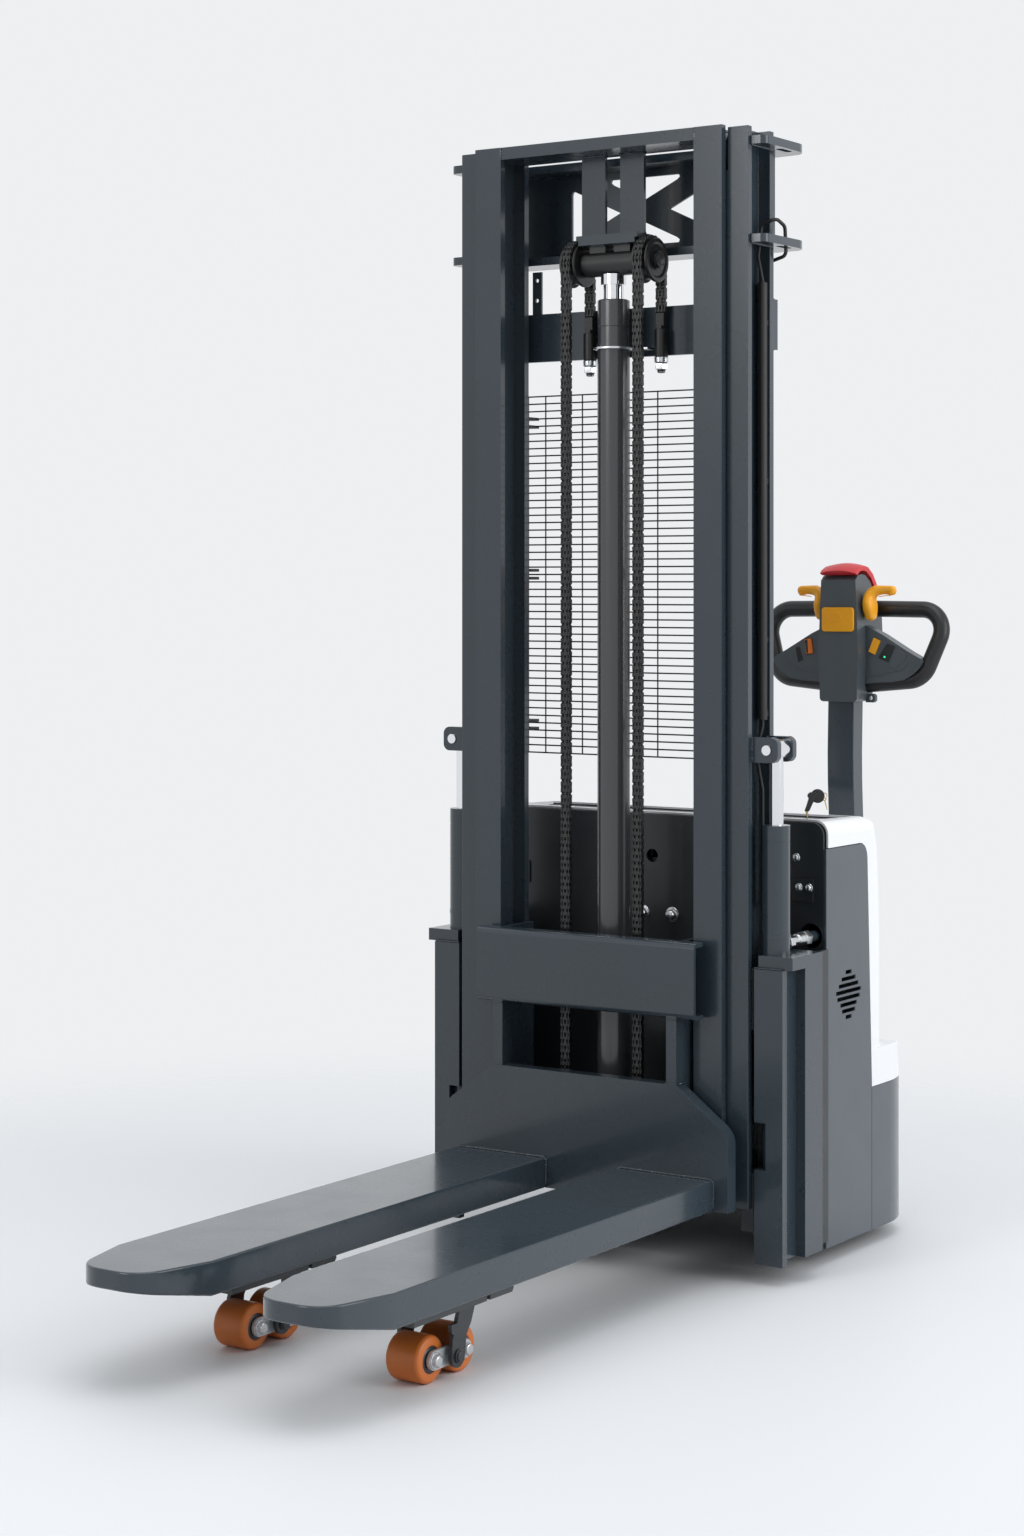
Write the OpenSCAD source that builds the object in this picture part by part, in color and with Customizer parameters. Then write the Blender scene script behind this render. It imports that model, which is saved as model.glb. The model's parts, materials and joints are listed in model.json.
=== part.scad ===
// Electric stacker that lifts itself: a drive body with straddle legs, a two-stage mast that slides
// in side guide columns, a fork carriage on lift chains and a tiller.
// Millimetres. Origin on the floor under the middle of the object, X across, forks toward -Y.

/* [Overall] */
// Height of the mast when lowered
mast_top = 2169; // [2100:1:2250]
// X of the object's middle from the centre plane of the mast, which the handle moves
mid_x = 6.17; // [0:0.01:8]
// Y of the fork heel face, which puts the origin under the middle of the object
heel_y = 185.6; // [150:0.1:250]
// Gap left between two welded or bolted flat faces
seat_gap = 0.2; // [0.1:0.05:0.3]

/* [Forks] */
// Fork length from heel to tip
fork_l = 1136; // [1000:1:1200]
// Width of one fork
fork_w = 207; // [200:1:212]
// Distance of a fork's middle from the centre plane
fork_cx = 186; // [184:1:190]
// Underside of the fork
fork_z = 143; // [141:1:145]
// Depth of the fork section
fork_h = 58; // [56:1:60]
// Wall of the pressed fork
fork_wall = 8; // [6:1:9]
// Length of the narrowing tip
fork_tip = 142; // [130:1:160]
// Radius of the two tip corners
fork_nose_r = 62; // [55:1:68]
// Rise of the underside at the tip
fork_rise = 27; // [18:1:30]

/* [Straddle legs] */
// Near and far side of a leg
leg_x0 = 98; // [96:1:100]
leg_x1 = 212; // [206:1:213]
// Underside and top of a leg
leg_z0 = 148; // [146:1:150]
leg_z1 = 186; // [180:1:188]
// Reach of a leg past the heel
leg_reach = 900; // [880:5:930]

/* [Load wheels] */
// Radius of a load wheel
wheel_r = 40; // [38:0.5:41]
// Width of a load wheel
wheel_w = 67; // [60:1:70]
// Middle of the wheels from the centre plane
wheel_cx = 183.5; // [180:0.5:186]
// Distance of the wheel pair's pivot from the heel
bogie_y = 753.5; // [740:0.5:770]
// Distance between the two axles
bogie_span = 88; // [86:1:96]
// Radius of a wheel axle
axle_r = 10; // [8:0.5:12]

/* [Mast profiles] */
// Depth, width and thicknesses of the mast beam section
beam_d = 100; // [98:0.5:102]
beam_w = 61; // [58:1:62]
beam_flange = 15; // [13:1:16]
beam_web = 10; // [8:1:11]
// Outer edge of the outer and inner columns
outer_x = 327; // [325:1:328]
inner_x = 281; // [279:1:282]
// Front face of the outer and inner columns behind the heel
outer_y = 65; // [64:1:66]
inner_y = 46; // [45:1:47]
// Foot of the outer and inner columns
outer_z = 139; // [136:1:142]
inner_z = 150; // [148:1:153]
// Radius of a mast roller
roller_r = 34.5; // [34:0.1:34.8]

/* [Lift cylinder and chains] */
// Radius of the lift cylinder barrel
barrel_r = 32; // [30:0.5:33]
// Radius of the lift piston rod
rod_r = 20; // [18:0.5:21]
// Distance of cylinder and chain wheel axle behind the heel
axle_y = 115; // [114:0.5:116]
// Depth of the chain wheel axle below the top of the mast
axle_drop = 233; // [229:1:239]
// Radius of the chain's middle line on the wheel
chain_r = 43.5; // [43:0.1:44]
// Distance of a chain from the centre plane
chain_x = 82; // [80:1:84]
// Width over the chain pins
chain_w = 24; // [20:1:25]
// Chain pitch
chain_pitch = 12.7; // [12.7:0.1:12.7]
// Radius of the chain wheel flanges
chain_flange_r = 43; // [42:0.5:44]
// Height of the chain ends on the carriage
chain_foot_z = 345; // [340:1:350]
// Depth of the chain ends on the outer mast below the chain wheel axle
chain_head_drop = 98; // [94:1:102]

/* [Self-lift cylinders] */
// Place of a side cylinder
side_x = 359.5; // [359:0.5:360]
side_y = 115.5; // [115:0.5:116]
// Radii of barrel and rod
side_barrel_r = 26; // [25:0.5:26]
side_rod_r = 13.5; // [12:0.5:14]
// Top of the side barrels and height of the clevis pins
side_top = 857; // [850:1:865]
pin_z = 999; // [995:1:1003]

/* [Drive body] */
// Half width of the body
body_x = 381; // [380:0.5:382]
// Front face of the bulkhead behind the heel
bulk_y = 276; // [275:1:278]
// Height of the cover
cover_z = 855; // [850:1:860]
// Top of the shroud
shroud_z = 315; // [310:1:320]
// Rear of the shroud behind the heel
shroud_y = 730; // [728:1:735]
// Rear corner radius of the shroud and of the cover
shroud_r = 182; // [178:1:186]
cover_r = 100; // [95:1:105]
// Radius of the cover's upper side edges
cover_edge = 28; // [20:1:28]
// Wall of the cover
cover_wall = 4; // [3:0.5:5]
// Place of the steering axis
steer_x = 213; // [211:1:214]
steer_y = 610; // [608:1:612]
// Radius and width of the drive wheel
drive_r = 103; // [100:1:104]
drive_w = 66; // [60:1:68]

/* [Tiller] */
// Place of the tiller hinge
tiller_y = 665; // [663:1:667]
tiller_z = 455; // [452:1:458]
// Width and depth of the tiller arm
arm_w = 60; // [56:1:62]
arm_d = 42; // [38:1:44]
// Front face of the tiller head
head_y = 650; // [648:1:652]
// Front face of the head's two wings
wing_y = 686; // [684:1:688]
// Radius of the handle tube
grip_r = 17; // [15:0.5:17]
// Half width of the handle
grip_half = 214; // [206:1:216]
// Place of the handle's upper bar and of its lower bar
grip_y = 735; // [733:1:737]
grip_low_y = 706; // [705:1:708]
// Heights of the upper bar and of the lower bar at the head
grip_z = 1259; // [1256:1:1261]
grip_low_z = 1101; // [1098:1:1103]

/* [Hidden] */
fit = 0.05;
clear = 0.3;
axle_z = mast_top - axle_drop;
chain_head_z = axle_z - chain_head_drop;
outer_cx = outer_x - beam_w / 2;
inner_cx = inner_x - beam_w / 2;
inner_web_in = inner_cx - beam_web / 2;
inner_web_out = inner_cx + beam_web / 2;
outer_web_in = outer_cx - beam_web / 2;
outer_web_out = outer_cx + beam_web / 2;
rear_y = outer_y + beam_d;
chain_inner = chain_r - 6;
front_y = axle_y - chain_r;
back_y = axle_y + chain_r;
paint = [0.27, 0.30, 0.33];
dark = [0.16, 0.18, 0.20];
black = [0.07, 0.07, 0.08];
zinc = [0.75, 0.77, 0.80];
white = [0.93, 0.94, 0.95];
orange = [0.85, 0.40, 0.10];
yellow = [0.98, 0.68, 0.08];
red = [0.85, 0.16, 0.18];
$fn = 48;

// Shared shapes

module at_heel() translate([-mid_x, heel_y, 0]) children();
module both() {
    children();
    mirror([1, 0, 0]) children();
}
// A box given by its low and high corners
module span(low, high) translate(low) cube(high - low);
// A profile drawn in Y and Z, drawn out along X
module along_x(x0, x1) translate([x0, 0, 0]) rotate([90, 0, 90]) linear_extrude(x1 - x0) children();
// A profile drawn in X and Z, drawn out along Y
module along_y(y0, y1) translate([0, y1, 0]) rotate([90, 0, 0]) linear_extrude(y1 - y0) children();
module rod_x(x0, x1, y, z, r) translate([x0, y, z]) rotate([0, 90, 0]) cylinder(h = x1 - x0, r = r);
module rod_y(x, y0, y1, z, r) translate([x, y1, z]) rotate([90, 0, 0]) cylinder(h = y1 - y0, r = r);
module rod_z(x, y, z0, z1, r) translate([x, y, z0]) cylinder(h = z1 - z0, r = r);
// A flat rectangle with round corners, centred
module soft_square(w, h, r) {
    square([w - 2 * r, h], center = true);
    square([w, h - 2 * r], center = true);
    for (i = [-1, 1], j = [-1, 1]) translate([i * (w / 2 - r), j * (h / 2 - r)]) circle(r);
}
function arc(c, r, a0, a1, n) = [for (i = [0:n]) c + r * [cos(a0 + (a1 - a0) * i / n), sin(a0 + (a1 - a0) * i / n)]];
function unit(v) = v / norm(v);
// Length that a bend takes off the two straights at corner i of a route
function bend_cut(p, i, bend) = i <= 0 || i >= len(p) - 1 ? 0
    : bend * tan(acos(unit(p[i] - p[i - 1]) * unit(p[i + 1] - p[i])) / 2);
// A round bar along a route of straights, with a bend at each corner
module tube(p, r, bend) {
    for (i = [0:len(p) - 2]) {
        d = unit(p[i + 1] - p[i]);
        a = p[i] + d * (bend_cut(p, i, bend) + 0.01);
        length = norm(p[i + 1] - p[i]) - bend_cut(p, i, bend) - bend_cut(p, i + 1, bend) - 0.02;
        translate(a) rotate([0, acos(d[2]), atan2(d[1], d[0])]) cylinder(h = length, r = r);
    }
    for (i = [1:len(p) - 2]) {
        d = unit(p[i] - p[i - 1]);
        e = unit(p[i + 1] - p[i]);
        w = unit(cross(d, e));
        u = cross(d, w);
        c = p[i] - d * bend_cut(p, i, bend) - u * bend;
        multmatrix([[u[0], d[0], w[0], c[0]], [u[1], d[1], w[1], c[1]], [u[2], d[2], w[2], c[2]], [0, 0, 0, 1]])
            rotate_extrude(angle = acos(d * e)) translate([bend, 0]) circle(r);
    }
}

// Forks and carriage

// Outline of one fork, inset by t
module fork_plan(t) {
    r = fork_nose_r - t;
    side = fork_w / 2 - t;
    cy = fork_l - fork_nose_r;
    cx = fork_w / 2 - fork_nose_r - 24;
    v = [side - cx, cy - (fork_l - fork_tip)];
    a = atan2(v[1], v[0]) - acos(r / norm(v));
    right = concat([[side, 0], [side, -(fork_l - fork_tip)]], arc([cx, -cy], r, a, -90, 8));
    left = [for (i = [len(right) - 1:-1:0]) [-right[i][0], right[i][1]]];
    polygon(concat(right, left));
}
module fork(s) color(paint) at_heel() translate([s * fork_cx, -seat_gap, 0]) difference() {
    translate([0, 0, fork_z]) linear_extrude(fork_h) fork_plan(0);
    translate([0, 0, fork_z - 1]) linear_extrude(fork_h - fork_wall + 1) fork_plan(fork_wall);
    span([fork_wall - fork_w / 2, -1, fork_z - 2], [fork_w / 2 - fork_wall, 5, fork_z + fork_h - fork_wall]);
    along_x(-fork_w, fork_w) polygon([[-fork_l + fork_tip, fork_z], [-fork_l - 5, fork_z + fork_rise],
        [-fork_l - 5, fork_z - 5], [-fork_l + fork_tip, fork_z - 5]]);
}
module fork_right() fork(1);
module fork_left() fork(-1);

plate_x = 320;
plate_top = 370;
chan_z0 = 493;
chan_z1 = 637;
// Front view of the heel plate, inset by t
module plate_face(t) {
    right = concat([[plate_x - t, fork_z + t]], arc([280, 267], 40 - t, 0, 53.5, 6),
        [[208 - t / 3, plate_top - t]]);
    left = [for (i = [len(right) - 1:-1:0]) [-right[i][0], right[i][1]]];
    polygon(concat(right, left));
}
// Section of the folded crossbar, open to the rear
module channel_section() difference() {
    union() {
        translate([0, chan_z0 + 12]) square([35, chan_z1 - chan_z0 - 24]);
        translate([12, chan_z0]) square([23, chan_z1 - chan_z0]);
        for (z = [chan_z0 + 12, chan_z1 - 12]) translate([12, z]) circle(12);
    }
    translate([8, chan_z0 + 12]) square([40, chan_z1 - chan_z0 - 24]);
    translate([12, chan_z0 + 8]) square([40, chan_z1 - chan_z0 - 16]);
    for (z = [chan_z0 + 12, chan_z1 - 12]) translate([12, z]) circle(4);
}
carrier_x0 = 196;
carrier_x1 = 210;
carriage_roller_y = inner_y + beam_d / 2;
carriage_roller_z = [255, 575];
module carriage_frame() color(paint) at_heel() {
    difference() {
        union() {
            difference() {
                along_y(0, 30) plate_face(0);
                along_y(12, 31) plate_face(12);
            }
            both() {
                span([186, 2, plate_top - 12], [208, 36, chan_z0 + 8]);
                span([carrier_x0, 28, 200], [carrier_x1, 128, chan_z1]);
                span([carrier_x0 - 30, 10, 210], [carrier_x1 - 2, 30, 350]);
                for (z = carriage_roller_z) rod_x(carrier_x1 - 1, inner_web_in - 2, carriage_roller_y, z, 12);
                span([fork_cx + 40, 11, 199], [plate_x - 12, 30, 211]);
            }
            along_x(-247, 247) channel_section();
            difference() {
                span([-carrier_x0 - 1, 50, 292], [carrier_x0 + 1, 92, 314]);
                span([-46, 74, 290], [46, 93, 316]);
                both() rod_z(chain_x, front_y, 290, 316, 8 + clear);
            }
        }
        both() span([leg_x0 - 5, -1, fork_z - 1], [leg_x1 + 4, 31, leg_z1 + 5]);
    }
    both() {
        rod_z(chain_x, front_y, 268, chain_foot_z - 16, 8);
        translate([chain_x, front_y, 281]) cylinder(h = 10.7, r = 13, $fn = 6);
        translate([chain_x, front_y, 314.3]) cylinder(h = 9, r = 13, $fn = 6);
        span([chain_x - 9, front_y - 7, chain_foot_z - 21], [chain_x + 9, front_y + 7, chain_foot_z - clear]);
    }
}
// Two rollers on one line, on the given side of the inner or outer beam
module roller_pair(x0, x1, y, z, bore) color(dark) at_heel() both() difference() {
    rod_x(x0, x1, y, z, roller_r);
    rod_x(x0 - 1, x1 + 1, y, z, bore + fit);
    for (x = [x0 - 1, x1 - 1.5]) difference() {
        rod_x(x, x + 2.5, y, z, 27);
        rod_x(x, x + 2.5, y, z, 19);
    }
}
module carriage_rollers_upper() roller_pair(219, inner_web_in - 2.5, carriage_roller_y, carriage_roller_z[1], 12);
module carriage_rollers_lower() roller_pair(219, inner_web_in - 2.5, carriage_roller_y, carriage_roller_z[0], 12);

// Mast

module beam_section() difference() {
    translate([-beam_w / 2, 0]) square([beam_w, beam_d]);
    both() translate([beam_web / 2, beam_flange]) square([beam_w, beam_d - 2 * beam_flange]);
}
top_roller_z = mast_top - 41;
module outer_column() difference() {
    union() {
        translate([outer_cx, outer_y, outer_z]) linear_extrude(mast_top - outer_z) beam_section();
        rod_x(inner_web_out + 2, outer_web_in + 1, inner_y + beam_d / 2, top_roller_z, 12);
    }
    span([outer_cx - beam_w, outer_y - 1, top_roller_z - 40], [inner_x + 2, outer_y + beam_flange + 1, mast_top + 1]);
}
module outer_column_right() color(paint) at_heel() outer_column();
module outer_column_left() color(paint) at_heel() mirror([1, 0, 0]) outer_column();
module top_rollers() roller_pair(inner_web_out + 2, inner_x - 2, inner_y + beam_d / 2, top_roller_z, 12);

ear_x = 360;
ear_front = 73;
ear_rear = 247;
cross_z = [mast_top - 219, mast_top - 35];
cross_t = 16;
// Plan of a cross plate with an ear round each outer column
module cross_plan() difference() {
    polygon(concat([[0, 171], [outer_x - beam_w + 1, 171], [outer_x - beam_w + 1, rear_y + seat_gap],
        [outer_x + seat_gap, rear_y + seat_gap], [outer_x + seat_gap, ear_front], [ear_x - 14, ear_front]],
        arc([ear_x - 14, ear_front + 14], 14, -90, 0, 4), arc([ear_x - 40, ear_rear - 40], 40, 0, 60, 4),
        [[290, ear_rear], [0, ear_rear]]));
    for (y = [158, 192]) translate([343, y]) circle(7);
    translate([336, 158]) square([14, 34]);
}
module upper_cross_frame() color(paint) at_heel() {
    both() for (z = cross_z) translate([0, 0, z]) linear_extrude(cross_t) cross_plan();
    mid = (cross_z[0] + cross_t + cross_z[1]) / 2 + 1;
    both() along_y(232, 238) difference() {
        translate([0, cross_z[0] + cross_t - 1]) square([290, cross_z[1] - cross_z[0] - cross_t + 2]);
        polygon(concat([[57, mid]], [[166, mid - 51]], arc([166, mid - 45], 6, -60, 0, 3),
            arc([166, mid + 45], 6, 0, 60, 3), [[166, mid + 51]]));
        for (k = [-1, 1]) polygon(concat([[-1, mid + k * 22]], [[74, mid + k * 57]],
            [[80, mid + k * 62]], [[78, mid + k * 67]], [[-1, mid + k * 67]]));
    }
}
mid_z0 = chain_head_z - 82;
mid_z1 = chain_head_z + 14;
foot_z = 150;
module outer_crossbars() color(paint) at_heel() {
    span([-outer_x + 2, 172, mid_z0], [outer_x - 2, 184, mid_z1]);
    both() span([outer_x - beam_w + 2, rear_y + seat_gap, mid_z0], [outer_x - 2, 173, mid_z1]);
    span([-outer_x + 4, 168.5, 196], [outer_x - 4, 181, 300]);
    both() span([outer_x - beam_w + 2, rear_y + seat_gap, 196], [outer_x - 4, 169, 300]);
    difference() {
        span([-227, 171, mid_z1 - 1], [-206, 176, mid_z1 + 85]);
        for (z = [28, 68]) rod_y(-216.5, 170, 177, mid_z1 + z, 4);
    }
    span([-60, 168.5, foot_z], [60, 181, 197]);
    span([-60, 82, foot_z], [60, 180, foot_z + 15]);
}
guard_y = 204;
guard_top = mid_z0 - 65;
guard_bottom = 968;
guard_half = 262;
guard_pitch = 15;
wire = 3;
module mesh_guard() color(black) at_heel() {
    rows = floor((guard_top - guard_bottom) / guard_pitch);
    for (i = [0:rows]) span([-guard_half - 2, guard_y, guard_top - i * guard_pitch - wire],
        [guard_half + 2, guard_y + wire, guard_top - i * guard_pitch]);
    both() for (x = [44, 132, 220, guard_half]) span([x - wire / 2, guard_y + wire, guard_top - rows * guard_pitch - wire],
        [x + wire / 2, guard_y + 2 * wire, guard_top]);
    both() for (z = [guard_bottom + 58, (guard_top + guard_bottom) / 2, guard_top - 55]) difference() {
        span([238, rear_y + seat_gap, z - 11], [278, guard_y + 8, z + 11]);
        span([237, guard_y - 0.3, z - 30], [guard_half + wire, guard_y + 2 * wire + 0.3, z + 30]);
    }
}
module chain_anchors() color(dark) at_heel() both() {
    difference() {
        rod_z(chain_x, back_y, chain_head_z - 85, chain_head_z - 32, 13.3);
        rod_z(chain_x, back_y, chain_head_z - 86, chain_head_z - 31, 8 + clear);
    }
    rod_z(chain_x, back_y, chain_head_z - 112, chain_head_z - 26, 8);
    translate([chain_x, back_y, chain_head_z - 98]) cylinder(h = 12.7, r = 13, $fn = 6);
    translate([chain_x, back_y, chain_head_z - 31.7]) cylinder(h = 7, r = 11, $fn = 6);
    span([chain_x - 9, back_y - 6.5, chain_head_z - 26], [chain_x + 9, back_y + 6.5, chain_head_z - clear]);
}

gland_z = axle_z - 157;
barrel_top = axle_z - 74;
module lift_barrel() color(dark) at_heel() difference() {
    union() {
        rod_z(0, axle_y, foot_z + 15 + seat_gap, gland_z, barrel_r);
        rod_z(0, axle_y, gland_z - 1, gland_z + 32, barrel_r - 1);
        rod_z(0, axle_y, gland_z + 33.5, barrel_top, barrel_r - 0.5);
        rod_z(0, axle_y, gland_z + 31, gland_z + 35, barrel_r - 2);
    }
    rod_z(0, axle_y, foot_z + 27, gland_z, 26);
    rod_z(0, axle_y, gland_z - 1, barrel_top + 1, rod_r + fit);
}
module cylinder_clamp() color(zinc) at_heel() difference() {
    union() {
        rod_z(0, axle_y, gland_z - 12, gland_z - 8, barrel_r + 8);
        span([-12, axle_y + 20, gland_z - 12], [64, 171.7, gland_z - 8]);
    }
    rod_z(0, axle_y, gland_z - 13, gland_z - 7, barrel_r + clear);
}
rod_foot = 250;
module lift_rod() color(zinc) at_heel() {
    rod_z(0, axle_y, rod_foot, axle_z - 42, rod_r);
    rod_z(0, axle_y, rod_foot, rod_foot + 40, 26 - fit);
    rod_z(0, axle_y, axle_z - 43, axle_z - 22 - clear, rod_r + 5);
}
module side_barrels() color(paint) at_heel() both() {
    difference() {
        union() {
            rod_z(side_x, side_y, 58.2, side_top, side_barrel_r);
            rod_z(side_x, side_y, 645, 653, side_barrel_r + 0.7);
            rod_y(352, side_y + side_barrel_r - 3, 236, 631, 9);
            rod_y(352, 214, 292, 631, 11);
        }
        rod_z(side_x, side_y, 70, side_top - 45, 20);
        rod_z(side_x, side_y, side_top - 46, side_top + 1, side_rod_r + fit);
        difference() {
            rod_z(side_x, side_y, side_top - 31, side_top - 29, side_barrel_r + 1);
            rod_z(side_x, side_y, side_top - 32, side_top - 28, side_barrel_r - 0.8);
        }
    }
}
module side_rods() color(zinc) at_heel() both() {
    difference() {
        union() {
            rod_z(side_x, side_y, 130, pin_z - 8, side_rod_r);
            rod_z(side_x, side_y, 130, 160, 20 - fit);
            rod_y(side_x, 96, 137, pin_z, 19);
        }
        rod_y(side_x, 90, 140, pin_z, 8 + fit);
    }
    rod_y(side_x, 75, 160, pin_z, 8);
    rod_y(side_x, 75, 78.5, pin_z, 9.5);
}
lug_x = 382;
module clevis_brackets() color(paint) at_heel() both() for (y = [79, 139]) along_y(y, y + 15) difference() {
    x0 = outer_x + seat_gap;
    union() {
        translate([x0, pin_z - 24]) square([lug_x - 14 - x0, 48]);
        translate([x0, pin_z - 10]) square([lug_x - x0, 20]);
        for (k = [-1, 1]) translate([lug_x - 14, pin_z + k * 10]) circle(14);
    }
    translate([side_x, pin_z]) circle(8 + fit);
}
cable_route = [[262, 190, 1842], [262, 190, 1914], [343, 184, 1935], [344, 178, 1990], [344, 142, 2002],
    [315, 139, 1990], [308, 138, 1930], [317, 139, 1884], [317, 139, 1040], [309, 128, 990], [317, 139, 920],
    [317, 139, 700]];
module mast_cable() color(black) at_heel() {
    tube(cable_route, 3.5, 12);
    for (z = [700, 1060, 1200, 1500, 1800]) span([315, rear_y - beam_flange - 6, z], [324, rear_y - beam_flange - seat_gap, z + 10]);
    difference() {
        rod_z(317, 139, 1053, 1881, 9);
        rod_z(317, 139, 1052, 1882, 4.5);
    }
}

wheel_x0 = chain_x - 17;
wheel_x1 = chain_x + 18;
yoke_half = wheel_x0 - 0.5;
module inner_mast_frame() color(paint) at_heel() {
    difference() {
        both() {
            difference() {
                translate([inner_cx, inner_y, inner_z]) linear_extrude(mast_top + 3 - inner_z) beam_section();
                span([outer_x - beam_w - 1, inner_y + beam_d - beam_flange - 1, inner_z - 1],
                    [inner_x + 1, inner_y + beam_d + 1, inner_z + 82]);
            }
            rod_x(inner_web_out - 1, outer_web_in - 2, outer_y + beam_d / 2, inner_z + 42, 12);
        }
    }
    span([-inner_web_in - 1, inner_y + 2, mast_top - 21], [inner_web_in + 1, inner_y + beam_d - 2, mast_top + 3]);
    span([-262, inner_y + beam_d + 3, 192], [262, inner_y + beam_d + 14, 235]);
    both() span([222, inner_y + beam_d - 1, 234 - 40], [262, inner_y + beam_d + 5, 235]);
    both() span([17, axle_y - 4, axle_z + 53], [71, axle_y + 4, mast_top - 20]);
    span([-yoke_half, axle_y - 28, axle_z + 35], [yoke_half, axle_y + 28, axle_z + 54]);
    span([-yoke_half - 5, axle_y - 28, axle_z + 44.7], [yoke_half + 5, axle_y + 28, axle_z + 54]);
    both() span([10, axle_y - 15, axle_z + 10], [46, axle_y + 15, axle_z + 36]);
    rod_x(-wheel_x0 + 1, wheel_x0 - 1, axle_y, axle_z, 22);
    rod_x(-wheel_x1 - 4, wheel_x1 + 4, axle_y, axle_z, 12.5);
    both() rod_x(wheel_x1 + 0.5, wheel_x1 + 6, axle_y, axle_z, 16);
}
module bottom_rollers() roller_pair(outer_x - beam_w + 1, outer_web_in - 2.5, outer_y + beam_d / 2, inner_z + 42, 12);
module chain_wheels() color(black) at_heel() both() difference() {
    union() {
        rod_x(wheel_x0, wheel_x1, axle_y, axle_z, chain_inner - 0.5);
        for (x = [wheel_x0, wheel_x1 - 4.2]) rod_x(x, x + 4.2, axle_y, axle_z, chain_flange_r);
    }
    rod_x(wheel_x0 - 1, wheel_x1 + 1, axle_y, axle_z, 12.5 + fit);
    difference() {
        rod_x(wheel_x1 - 3.5, wheel_x1 + 1, axle_y, axle_z, 33);
        rod_x(wheel_x1 - 4, wheel_x1 + 2, axle_y, axle_z, 19);
    }
}

// Half width of a chain at pitch i, where outer and inner links take turns
function link_half(i) = chain_w / 2 - (i % 2 == 0 ? 0 : 3);
// Front view of a straight chain run
module chain_face(n, step) {
    side = [for (i = [0:n - 1]) each [[link_half(i), i * step + (i % 2 == 0 ? 0 : 0.5)],
        [link_half(i), (i + 1) * step - (i % 2 == 0 ? 0 : 0.5)]]];
    polygon(concat(side, [for (i = [len(side) - 1:-1:0]) [-side[i][0], side[i][1]]]));
}
module chain_strand(length) {
    n = floor(length / chain_pitch);
    rotate([90, 0, 0]) linear_extrude(10, center = true) chain_face(n, length / n);
}
module chain_front_strands() color(black) at_heel() both()
    translate([chain_x, front_y, chain_foot_z]) chain_strand(axle_z - chain_foot_z - 0.9);
module chain_rear_strands() color(black) at_heel() both()
    translate([chain_x, back_y, chain_head_z]) chain_strand(axle_z - chain_head_z - 0.9);
module chain_wraps() color(black) at_heel() both() {
    n = 10;
    for (i = [0:n - 1]) translate([chain_x, axle_y, axle_z + 0.5]) rotate([18 * i + 9, 0, 0]) translate([0, chain_r, 0])
        difference() {
            span([-link_half(i), -5, -7.2], [link_half(i), 5, 7.2]);
            span([-4.5, -6, -1.8], [4.5, 6, 1.8]);
        }
}

// Straddle legs, bogies and load wheels

link_in = wheel_w / 2 + 1.5;
link_t = 6;
cheek_in = link_in + link_t + 8;
cheek_t = 8;
// Side view of a cheek of the wheel bracket, from the pivot's place
module cheek_side() {
    translate([0, wheel_r]) circle(19);
    polygon([[2, 133], [52, 133], [46, 110], [37, 89], [23, 70], [19, wheel_r], [-19, wheel_r], [-16, 70], [-13, 77],
        [-19, 81], [-19, 95], [-3, 95], [2, 110]]);
}
module straddle_leg(s) color(paint) at_heel() {
    x0 = s > 0 ? leg_x0 : -leg_x1;
    x1 = s > 0 ? leg_x1 : -leg_x0;
    plate_half = fork_w / 2 - fork_wall - 1;
    span([x0, -leg_reach, leg_z0], [x1, 189.8, leg_z1]);
    difference() {
        translate([s * fork_cx, 0, 0]) span([-plate_half, -bogie_y - 180, 131], [plate_half, -bogie_y + 103, leg_z0 + 1]);
        translate([s * fork_cx, 0, 0]) {
            span([-plate_half - 1, -bogie_y + 24.5, 120], [plate_half + 1, -bogie_y + 34.5, 139]);
            along_x(-plate_half - 1, plate_half + 1) polygon([[-bogie_y + 98, 130], [-bogie_y + 105, 130], [-bogie_y + 105, 139]]);
        }
    }
    translate([s * wheel_cx, 0, 0]) for (k = [-1, 1]) difference() {
        mid = k * (cheek_in + cheek_t / 2);
        along_x(mid - cheek_t / 2, mid + cheek_t / 2) translate([-bogie_y, 0]) cheek_side();
        rod_x(-80, 80, -bogie_y, wheel_r, 6 + fit);
    }
}
module straddle_leg_right() straddle_leg(1);
module straddle_leg_left() straddle_leg(-1);
module bogie(s) color(zinc) at_heel() translate([s * wheel_cx, -bogie_y, wheel_r]) {
    difference() {
        for (k = [-1, 1]) along_x(k * (link_in + link_t / 2) - link_t / 2, k * (link_in + link_t / 2) + link_t / 2) union() {
            square([bogie_span, 32], center = true);
            for (y = [-1, 1]) translate([y * bogie_span / 2, 0]) circle(16);
        }
        for (y = [-1, 1]) rod_x(-80, 80, y * bogie_span / 2, 0, axle_r + 0.02);
    }
    for (y = [-1, 1]) {
        rod_x(-link_in - link_t - 2, link_in + link_t + 1, y * bogie_span / 2, 0, axle_r);
        translate([link_in + link_t + 0.9, y * bogie_span / 2, 0]) rotate([0, 90, 0]) cylinder(h = 5, r = 11, $fn = 6);
        translate([-link_in - link_t - 5.9, y * bogie_span / 2, 0]) rotate([0, 90, 0]) cylinder(h = 5, r = 11, $fn = 6);
    }
    for (k = [-1, 1]) rod_x(k > 0 ? link_in + 1 : -cheek_in - cheek_t - 3, k > 0 ? cheek_in + cheek_t + 3 : -link_in - 1, 0, 0, 6);
    for (k = [-1, 1]) rod_x(k > 0 ? cheek_in + cheek_t + 0.5 : -cheek_in - cheek_t - 4, k > 0 ? cheek_in + cheek_t + 4 : -cheek_in - cheek_t - 0.5, 0, 0, 8);
}
module bogie_right() bogie(1);
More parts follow.
